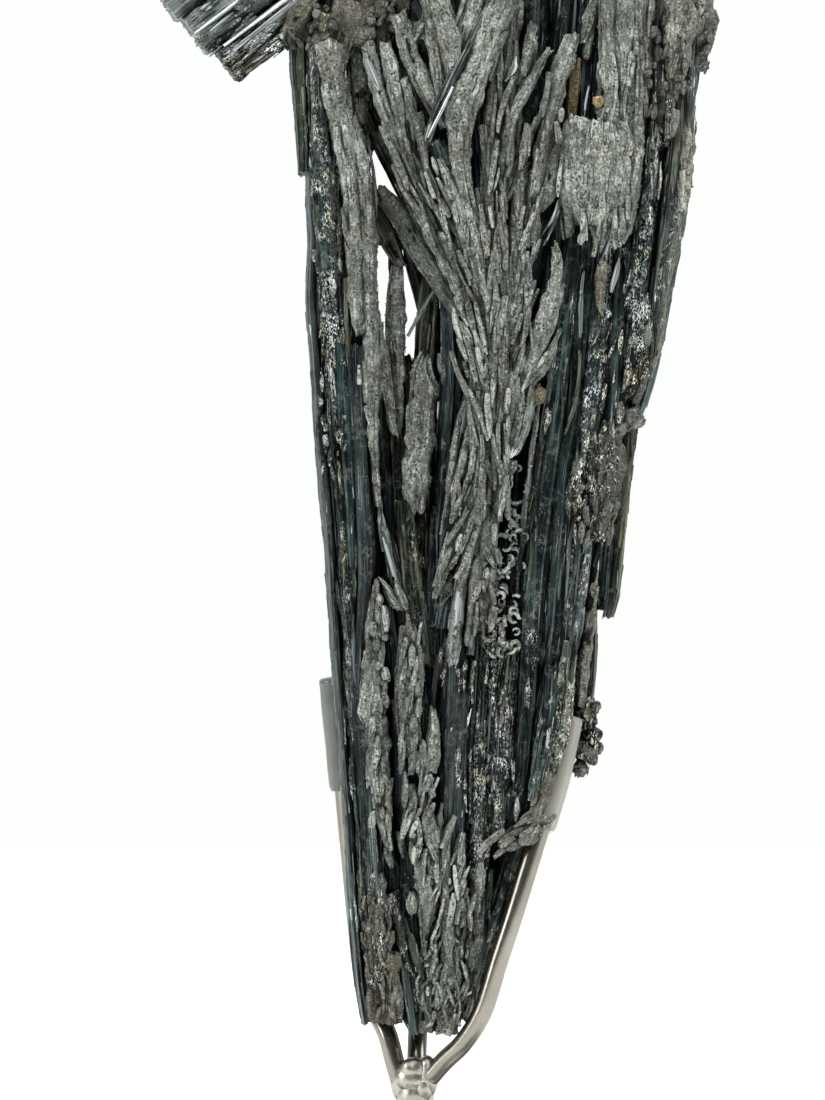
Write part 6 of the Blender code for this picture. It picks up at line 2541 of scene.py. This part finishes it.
# Curling threads in the hollow, and thin splinters that lie over the larger crystals.
STRANDS = {
    "waist_blades": (
        Strands((25.5, 252), (29, 224), 3.6, (-16.4, -13), 44, 3, None, bend=(0.3, 0.9), step=0.8,
            length=(3.5, 7), width=(0.5, 0.95), coat=0.85, tone=0.1, bright=0.3),
        Strands((28.5, 224), (25, 192), 4, (-16, -13), 56, 4, None, bend=(0.3, 0.9), step=0.8, length=(3.5,
            7), width=(0.5, 0.95), coat=0.85, tone=0.15, bright=0.3),
        Strands((12, 322), (20, 262), 3.4, (-22.4, -20.6), 44, 21, -13, length=(8, 26)),
        Strands((24, 318), (23.5, 240), 4.4, (-22.6, -20.4), 60, 22, 0, length=(8, 28)),
        Strands((34, 316), (29, 256), 3.2, (-21.4, -19.4), 40, 23, 9, length=(8, 22)),
        Strands((21, 252), (10, 214), 3.8, (-19.8, -18), 34, 24, 20, length=(6, 22), coat=0.85, bright=0.12,
            blue=0.6),
        Strands((24, 248), (20, 200), 3.4, (-17.8, -15.8), 34, 25, 6, 16, length=(3, 12), coat=0.8,
            tone=0.6, bright=0.12),
    ),
    "fan_blades": (
        Strands((-6, 352), (10, 312), 5, (-21.4, -17), 40, 26, -22, length=(8, 26), coat=0.8, tone=0.6),
        Strands((32, 364), (28, 318), 8, (-21, -17), 40, 27, 9, length=(8, 26), coat=0.8, tone=0.6),
        Strands((4, 384), (26, 372), 8, (-22.5, -19), 24, 28, 12, 22, length=(6, 18), coat=0.8, tone=0.6),
    ),
    "left_column": (
        Strands((-21, 346), (-13.4, 264), 3, (-17.9, -16.6), 9, 29, -6, 4, length=(6, 20), coat=0.95),
        Strands((-36, 377), (-5, 384), 6, (-17.5, -12.5), 70, 30, None, bend=(0, 0.3), length=(2, 7),
            width=(1, 3), coat=0.75, etch=0.5, tone=0.95),
        Strands((-43, 371), (-50.5, 380.5), 4.5, (-12.9, -11.8), 26, 31, 53, 2, length=(3, 13), width=(0.6,
            1.8), coat=0.04, etch=0.5, bright=0.5, blue=0.5, tone=0.2),
        Strands((-49, 383), (-58, 396), 9, (-13.2, -11.9), 60, 32, 53, 2, length=(3, 16), width=(0.6, 1.7),
            coat=0.04, etch=0.4, bright=0.6, shine=0.1, blue=0.7, tone=0.2),
        Strands((-53, 366.5), (-62, 376), 1.6, (-9, 5), 20, 61, 53, 10, length=(2, 5), width=(1.2, 3),
            coat=0.2, etch=0.9, tone=0.6, bright=0.1),
    ),
    "left_spar": (
        Strands((-27.5, 336), (-23.8, 250), 4, (-13.8, -12), 76, 33, -4, 6, length=(3, 11), width=(0.8,
            2.4), coat=0.03, etch=1, tone=0.4, blue=0.6, bright=0.08),
        Strands((-21, 240), (-14.4, 110), 3.6, (-12.8, -11), 34, 34, -4, 3, length=(8, 30), width=(0.6,
            1.6), coat=0.1, etch=0.5, blue=0.6),
    ),
    "foot_columns": (
        Strands((-12, 206), (-9.6, 142), 3.2, (-16.4, -14.8), 44, 35, -2, 8, length=(4, 15), width=(0.9,
            2.4), coat=0.95),
        Strands((-1.4, 196), (-0.8, 156), 3.2, (-16.8, -15.4), 30, 36, 0, 6, length=(4, 15), width=(0.9,
            2.4), coat=0.95),
        Strands((0, 150), (12, 112), 6, (-15.6, -13.8), 76, 37, 6, 14, length=(3, 15), width=(0.6, 1.8),
            coat=0.96, tone=0.3),
        Strands((16, 196), (24, 140), 9.5, (-14, -12.8), 56, 38, 6, 6, length=(3, 15), width=(0.6, 2),
            coat=0.06, etch=0.9, tone=0.3, blue=0.6, bright=0.03),
        Strands((-11, 116), (-10.4, 84), 4.2, (-13.8, -12.8), 46, 39, 0, 12, bend=(0, 0.25), step=1.4,
            length=(3, 10), width=(0.4, 1.2), coat=0.75, etch=0.5, stain=0.35, tone=0.9),
        Strands((8, 114), (8.4, 82), 6.6, (-11.9, -11), 110, 40, 6, 18, bend=(0.02, 0.3), step=1.4,
            length=(3, 11), width=(0.4, 1.1), coat=0.88),
        Strands((19, 122), (14.4, 86), 3.6, (-9.4, -8.6), 40, 41, 12, 8, step=1.6, length=(4, 14),
            width=(0.5, 1.3), coat=0.6, etch=0.5, tone=0.9),
        Strands((38, 142), (25, 133), 3, (-14.8, -13), 20, 42, 62, 8, length=(4, 13), width=(0.9, 2.4),
            coat=0.9, tone=0.6, stain=0.1),
    ),
    "right_spars": (
        Strands((47, 306), (36, 176), 8, (-15.4, -14.2), 24, 43, 6, 2.5, length=(8, 34), width=(0.6, 1.8),
            coat=0.1, etch=0.35, blue=0.5),
        Strands((57, 264), (52, 226), 4.6, (-15, -13), 44, 44, 6, 8, length=(3, 10), width=(0.9, 2.6),
            coat=0.45, etch=0.8, tone=1, stain=0.06),
        Strands((64, 312), (61, 264), 5, (-15.2, -13.8), 18, 45, 8, 6, length=(3, 12), coat=0.2, etch=0.8,
            tone=0.4, bright=0.1),
    ),
    "right_plates": (
        Strands((51, 352), (54, 316), 9, (-22, -20.8), 16, 46, 2, 5, length=(5, 18), width=(0.9, 2.2),
            coat=0.96, tone=0.35),
        Strands((66, 386), (60, 318), 5.6, (-21.4, -19.8), 20, 47, 4, 4, length=(6, 26), width=(0.9, 2.2),
            coat=0.94),
        Strands((78, 386), (74, 352), 6, (-19, -17.6), 30, 48, 2, 10, length=(3, 12), width=(0.9, 2.6),
            coat=0.7, etch=0.5, tone=0.9, stain=0.06),
        Strands((74.4, 367), (70, 320), 2.8, (-18.8, -16.8), 26, 49, 4, 4, length=(5, 18), width=(0.7, 1.7),
            coat=0.1, etch=0.8, blue=0.9, bright=0.5),
    ),
}

STREWINGS = (
    Strewing("splinters", "coat", density=14.0, width=(0.4, 1.0), length=(1.2, 4.2), flat=0.5,
             tilt=6.0, taper=0.6, bright=0.012, most=1200),
    Strewing("crumbs", "coat", density=60.0, width=(0.35, 0.9), length=(0.35, 1.1), flat=0.9,
             tilt=60.0, taper=0.6, bright=0.01, most=1500),
    Strewing("needles", "bare", density=26.0, width=(0.25, 0.6), length=(1.4, 6.0), flat=0.7,
             tilt=4.0, taper=0.7, bright=0.05, most=1300),
    Strewing("grains", "etch", density=90.0, width=(0.2, 0.5), length=(0.25, 0.8), flat=0.8,
             tilt=40.0, taper=0.4, bright=0.14, most=2000),
)

# Knobbly masses: where they are seen, how deep, and their half sizes.
TOP_CRUST = (
    Lump((-33, 378, -8), (5, 5.5, 5), tone=1, coat=0.6, etch=0.6, stain=0.3),
    Lump((-27, 382, -10), (6.5, 6, 7), tone=1, coat=0.56, etch=0.6, stain=0.3),
    Lump((-19.5, 381, -12), (6.5, 6, 7.5), tone=1, coat=0.62, etch=0.4, stain=0.3),
    Lump((-24, 375, -12.5), (5.5, 4.5, 4.6), tone=1, coat=0.62, etch=0.4, stain=0.3),
    Lump((-13, 384, -12.5), (6, 5, 6.5), tone=1, coat=0.6, etch=0.4, stain=0.3),
    Lump((-16.6, 376, -13.4), (4.2, 4, 4.4), tone=1, coat=0.62, etch=0.4, stain=0.3),
    Lump((-6, 388, -12), (5.5, 5, 5.5), tone=1, coat=0.6, etch=0.4, stain=0.3),
    Lump((-26, 397, -9), (10, 7, 10), tone=0.9, coat=0.7),
    Lump((-12, 402, -9), (10, 7, 11), tone=0.9, coat=0.7),
    Lump((-39, 376.5, -12.4), (1.3, 1.2, 1.3), tone=0, coat=1, shine=0.5, mesh=0.5),
    Lump((-40.8, 373.6, -12.2), (1.1, 1, 1.1), tone=0, coat=1, shine=0.5, mesh=0.5),
)

PLATE_CRUST = (
    Lump((78.5, 377, -14), (5, 4, 5.5), tone=0.9, stain=0.08, coat=0.7, etch=0.5),
    Lump((84.5, 372.5, -10), (4.6, 5, 5.6), tone=0.9, coat=0.7, etch=0.5),
    Lump((80.5, 385, -12), (6.5, 6, 6), tone=0.95, coat=0.66, etch=0.4),
    Lump((86, 381.5, -8), (4, 5, 5), tone=0.9, coat=0.7, stain=0.08),
    Lump((78.6, 360.5, -12), (2.4, 3, 3.4), tone=0.9, coat=0.7),
    Lump((82.4, 346, -7.5), (1.5, 3, 3.2), tone=0.8, block=0.5),
    Lump((81.6, 334, -7), (1.4, 3, 5), tone=0.8, block=0.5, stain=0.1),
    Lump((54.9, 356.4, -20.6), (1.7, 1.6, 1.8), stain=1, tone=0, coat=1, rough=0.1, block=0.3, mesh=0.5),
)

EDGE_CRUST = (
    Lump((64.8, 262, -10), (2.6, 3.4, 2.6), coat=0.8, tone=0.8),
    Lump((61.4, 258.8, -10.5), (3.4, 3, 2.4), coat=0.8, tone=0.8),
    Lump((61, 248, -8), (1.8, 3, 2.8), coat=0.8, tone=0.8),
    Lump((52, 172, 1.6), (3, 5, 3.6), coat=0.35, etch=0.9, tone=0.8, mesh=0.5, block=1.6),
    Lump((52.8, 166.6, 1.6), (2.2, 4.4, 2.6), coat=0.3, etch=0.9, tone=0.9, mesh=0.5, block=1.6),
    Lump((52, 161.6, 1.5), (2.7, 4.6, 3), coat=0.5, etch=0.8, tone=0.8, mesh=0.5, block=1.6),
    Lump((49.4, 156.6, 1.5), (1.8, 3.6, 2.6), coat=0.7, tone=0.8, mesh=0.6),
    Lump((54, 174.6, 2), (1.7, 3, 1.9), coat=0.5, etch=0.6, mesh=0.5),
    Lump((54.6, 162.6, 1), (1.7, 3, 1.7), coat=0.3, etch=0.9, mesh=0.5),
)

FOOT_CRUST = (
    Lump((38.6, 157, -8.5), (3, 3, 6), stain=0.4, tone=0.9, coat=0.6, etch=0.5),
)

PATCHES = (
    Patch(Mark.TONE, (-29.5, 340), (-30.5, 336), 2.6, 0),
    Patch(Mark.ETCH, (-29.5, 340), (-30.5, 336), 2.6, 0.1),
    Patch(Mark.ETCH, (-30, 327), (-30.6, 322), 2.4, 0.1),
    Patch(Mark.BLUE, (-30, 327), (-30.6, 322), 2.4, 1),
    Patch(Mark.ETCH, (-27.9, 313), (-27, 308), 2.4, 0.1),
    Patch(Mark.BLUE, (-30, 340), (-27, 300), 3, 1),
    Patch(Mark.COAT, (-28, 338), (-23, 262), 5, 0),
    Patch(Mark.ETCH, (47, 172), (45, 160), 3, 1, depth=(-20, -10)),
    Patch(Mark.BLUE, (28.8, 280), (28.4, 276.6), 1.3, 1, 0.3, (-26, -17)),
    Patch(Mark.COAT, (28.8, 280), (28.4, 276.6), 1.3, 0, 0.3, (-26, -17)),
)


# ---------------------------------------------------------------------------------------------
# The cluster
# ---------------------------------------------------------------------------------------------

# Crystals behind the middle of the cluster are hardly seen, so they carry a coarser mesh.
HIDDEN = {"mesh_across": 1.7, "mesh_along": 5.0, "ridges": 0.9}


@dataclass
class Cluster:
    """The intergrown crystals, made region by region."""

    finish: bpy.types.Material
    rods: tuple[Rod, ...]

    def build(self) -> None:
        """Grow every region as its own piece, then strew small crystals over it."""
        regions = {
            "left_spar": (LEFT_SPAR, ()),
            "left_column": (LEFT_COLUMN + CROSS_STUB, TOP_CRUST),
            "fan_blades": (FAN, ()),
            "waist_blades": (WAIST, ()),
            "middle_fingers": (FINGERS, ()),
            "foot_columns": (LOWER + HEART, FOOT_CRUST),
            "right_spars": (RIGHT_SPARS + RIGHT_CRUST, EDGE_CRUST),
            "right_plates": (PLATES, PLATE_CRUST),
            "back_crystals": (BACK, ()),
        }
        skins = {}
        for number, (name, (crystals, lumps)) in enumerate(regions.items()):
            skins[name] = Skin()
            grower = Grower(PATCHES, self.rods, 100 * (number + 1))
            crystals = tuple(replace(crystal, **HIDDEN) if min(crystal.near) > 1.0 else crystal
                             for crystal in crystals)
            grower.grow(skins[name], crystals)
            grower.mass(skins[name], lumps)
            for strands in STRANDS.get(name, ()):
                grower.grow(skins[name], strands.crystals())
            LOG.info("%s: %d points", name, skins[name].count)
        Openness().mark(list(skins.values()))
        for number, (name, skin) in enumerate(skins.items()):
            piece = declare(skin.build(name, self.finish), "stibnite", "crystal_cluster")
            for strewing in () if name == "back_crystals" else STREWINGS:
                strewing.build(piece, self.finish, 7 * number + 3, self.rods)


# ---------------------------------------------------------------------------------------------
# Room and camera
# ---------------------------------------------------------------------------------------------


@dataclass
class Studio:
    """Pale floor, soft lamps and the camera.

    Floor and sensor sizes are in mm, and the rest in metres. `lamps` holds the name of each,
    where it stands, its width and height, and its power in watts.
    """

    floor_radius: float = 1380.0
    floor_depth: float = 4.0
    floor_sides: int = 160
    floor_glow: float = 0.55
    floor_roughness: float = 0.9
    floor_colour: tuple = (0.86, 0.88, 0.86, 1.0)
    wall_colour: tuple = (0.985, 1.0, 0.985, 1.0)
    fill_colour: tuple = (0.94, 1.0, 1.0, 1.0)
    lamp_aim: tuple = (0.0, 0.0, 0.24)
    lamps: tuple = (
        ("top_lamp", (0.05, -0.25, 1.15), (0.7, 0.5), 15.0),
        ("left_lamp", (-0.95, -0.45, 0.55), (0.4, 0.9), 9.0),
        ("right_lamp", (1.0, -0.35, 0.5), (0.35, 0.9), 7.0),
        ("front_lamp", (-0.25, -1.2, 0.95), (0.5, 0.4), 4.5),
    )
    sensor_width: float = 27.0
    clip: tuple[float, float] = (0.05, 20.0)

    def build(self) -> None:
        """Set up everything that is not part of the object."""
        self._floor()
        self._world()
        for lamp in self.lamps:
            self._lamp(*lamp)
        self._camera()

    def _floor(self) -> None:
        """Make the pale round floor."""
        finish, _, shader = start_finish("pale_floor")
        shader.inputs["Base Color"].default_value = self.floor_colour
        shader.inputs["Roughness"].default_value = self.floor_roughness
        shader.inputs["Emission Color"].default_value = (1.0, 1.0, 1.0, 1.0)
        shader.inputs["Emission Strength"].default_value = self.floor_glow
        profile = ((self.floor_radius, -self.floor_depth), (self.floor_radius, 0.0))
        mesh = ring_mesh("floor", turned_rings(profile, self.floor_sides))
        mesh.shade_flat()
        floor = linked("floor", mesh, finish)

    def _world(self) -> None:
        """White behind the object, a quieter grey for light and reflections."""
        world = bpy.data.worlds.new("studio")
        bpy.context.scene.world = world
        world.use_nodes = True
        g = Graph(world.node_tree)
        world.node_tree.nodes.clear()
        seen_by_eye = g.node("ShaderNodeLightPath").outputs["Is Camera Ray"]
        wall = g.node("ShaderNodeBackground", {"Color": self.wall_colour, "Strength": 1.0})
        way = g.node("ShaderNodeSeparateXYZ", {
            "Vector": g.node("ShaderNodeTexCoord").outputs["Generated"]})
        behind = g.between(way.outputs["Y"], -0.2, 0.75, 0.05, 0.85)
        above = g.between(way.outputs["Z"], 0.1, 0.9, 0.0, 0.25)
        fill = g.node("ShaderNodeBackground", {"Color": self.fill_colour,
                                               "Strength": behind + above})
        both = g.node("ShaderNodeMixShader")
        g.plug(both.inputs[0], seen_by_eye)
        g.plug(both.inputs[1], fill.outputs[0])
        g.plug(both.inputs[2], wall.outputs[0])
        out = g.node("ShaderNodeOutputWorld")
        g.plug(out.inputs["Surface"], both.outputs[0])

    def _lamp(self, name: str, place: tuple, size: tuple[float, float], power: float) -> None:
        """Add one soft white rectangular lamp that faces the middle of the object.

        Args:
            name: Name of the lamp.
            place: Where it stands, in metres.
            size: Width and height in metres.
            power: In watts.
        """
        lamp = bpy.data.lights.new(name, "AREA")
        lamp.shape = "RECTANGLE"
        lamp.size, lamp.size_y = size
        lamp.energy = power
        obj = bpy.data.objects.new(name, lamp)
        obj.location = place
        way = Vector(self.lamp_aim) - Vector(place)
        obj.rotation_euler = way.to_track_quat("-Z", "Y").to_euler()
        bpy.context.scene.collection.objects.link(obj)

    def _camera(self) -> None:
        """Look straight at the front, level with the middle of the view."""
        camera = bpy.data.cameras.new("camera")
        camera.sensor_fit = "VERTICAL"
        camera.sensor_width = self.sensor_width
        camera.sensor_height = SENSOR
        camera.lens = SENSOR * EYE_DISTANCE / VIEW_HEIGHT
        camera.clip_start, camera.clip_end = self.clip
        obj = bpy.data.objects.new("camera", camera)
        obj.matrix_world = (Matrix.Translation(Vector((EYE_X, -EYE_DISTANCE, EYE_Z)) * MM)
                            @ Euler((np.pi / 2.0, 0.0, 0.0)).to_matrix().to_4x4())
        bpy.context.scene.collection.objects.link(obj)
        scene = bpy.context.scene
        scene.camera = obj
        scene.view_settings.view_transform = "Standard"
        scene.view_settings.look = "None"
        scene.view_settings.exposure = 0.0
        scene.view_settings.gamma = 1.0


def main() -> None:
    """Build the object, the studio and the camera."""
    logging.basicConfig(level=logging.INFO, format="%(name)s %(message)s")
    rod = MetalFinish("stainless_rod", colour=(0.235, 0.217, 0.186), roughness=0.19, spread=0.12,
                      scratch=(900.0, 900.0, 60.0), depth=0.00003).build()
    weld = MetalFinish("weld_metal", colour=(0.36, 0.338, 0.295), roughness=0.24, spread=0.2,
                       scratch=(420.0, 420.0, 420.0), depth=0.0005).build()
    plate = MetalFinish("brushed_base", colour=(0.60, 0.59, 0.57), roughness=0.30, spread=0.14,
                        scratch=(60.0, 2600.0, 900.0), depth=0.00002).build()
    sleeves = {
        "left": VinylFinish("clouded_vinyl", tint=(0.20, 0.21, 0.187), clear=0.66).build(),
        "right": VinylFinish("creamy_vinyl", tint=(0.37, 0.36, 0.318), clear=0.58).build(),
        "back": VinylFinish("back_vinyl", tint=(0.3, 0.3, 0.28), clear=0.62).build(),
    }
    Stand(rod, weld, plate, sleeves).build()
    Cluster(StibniteFinish().build(), rods_to_clear()).build()
    Studio().build()


if __name__ == "__main__":
    main()
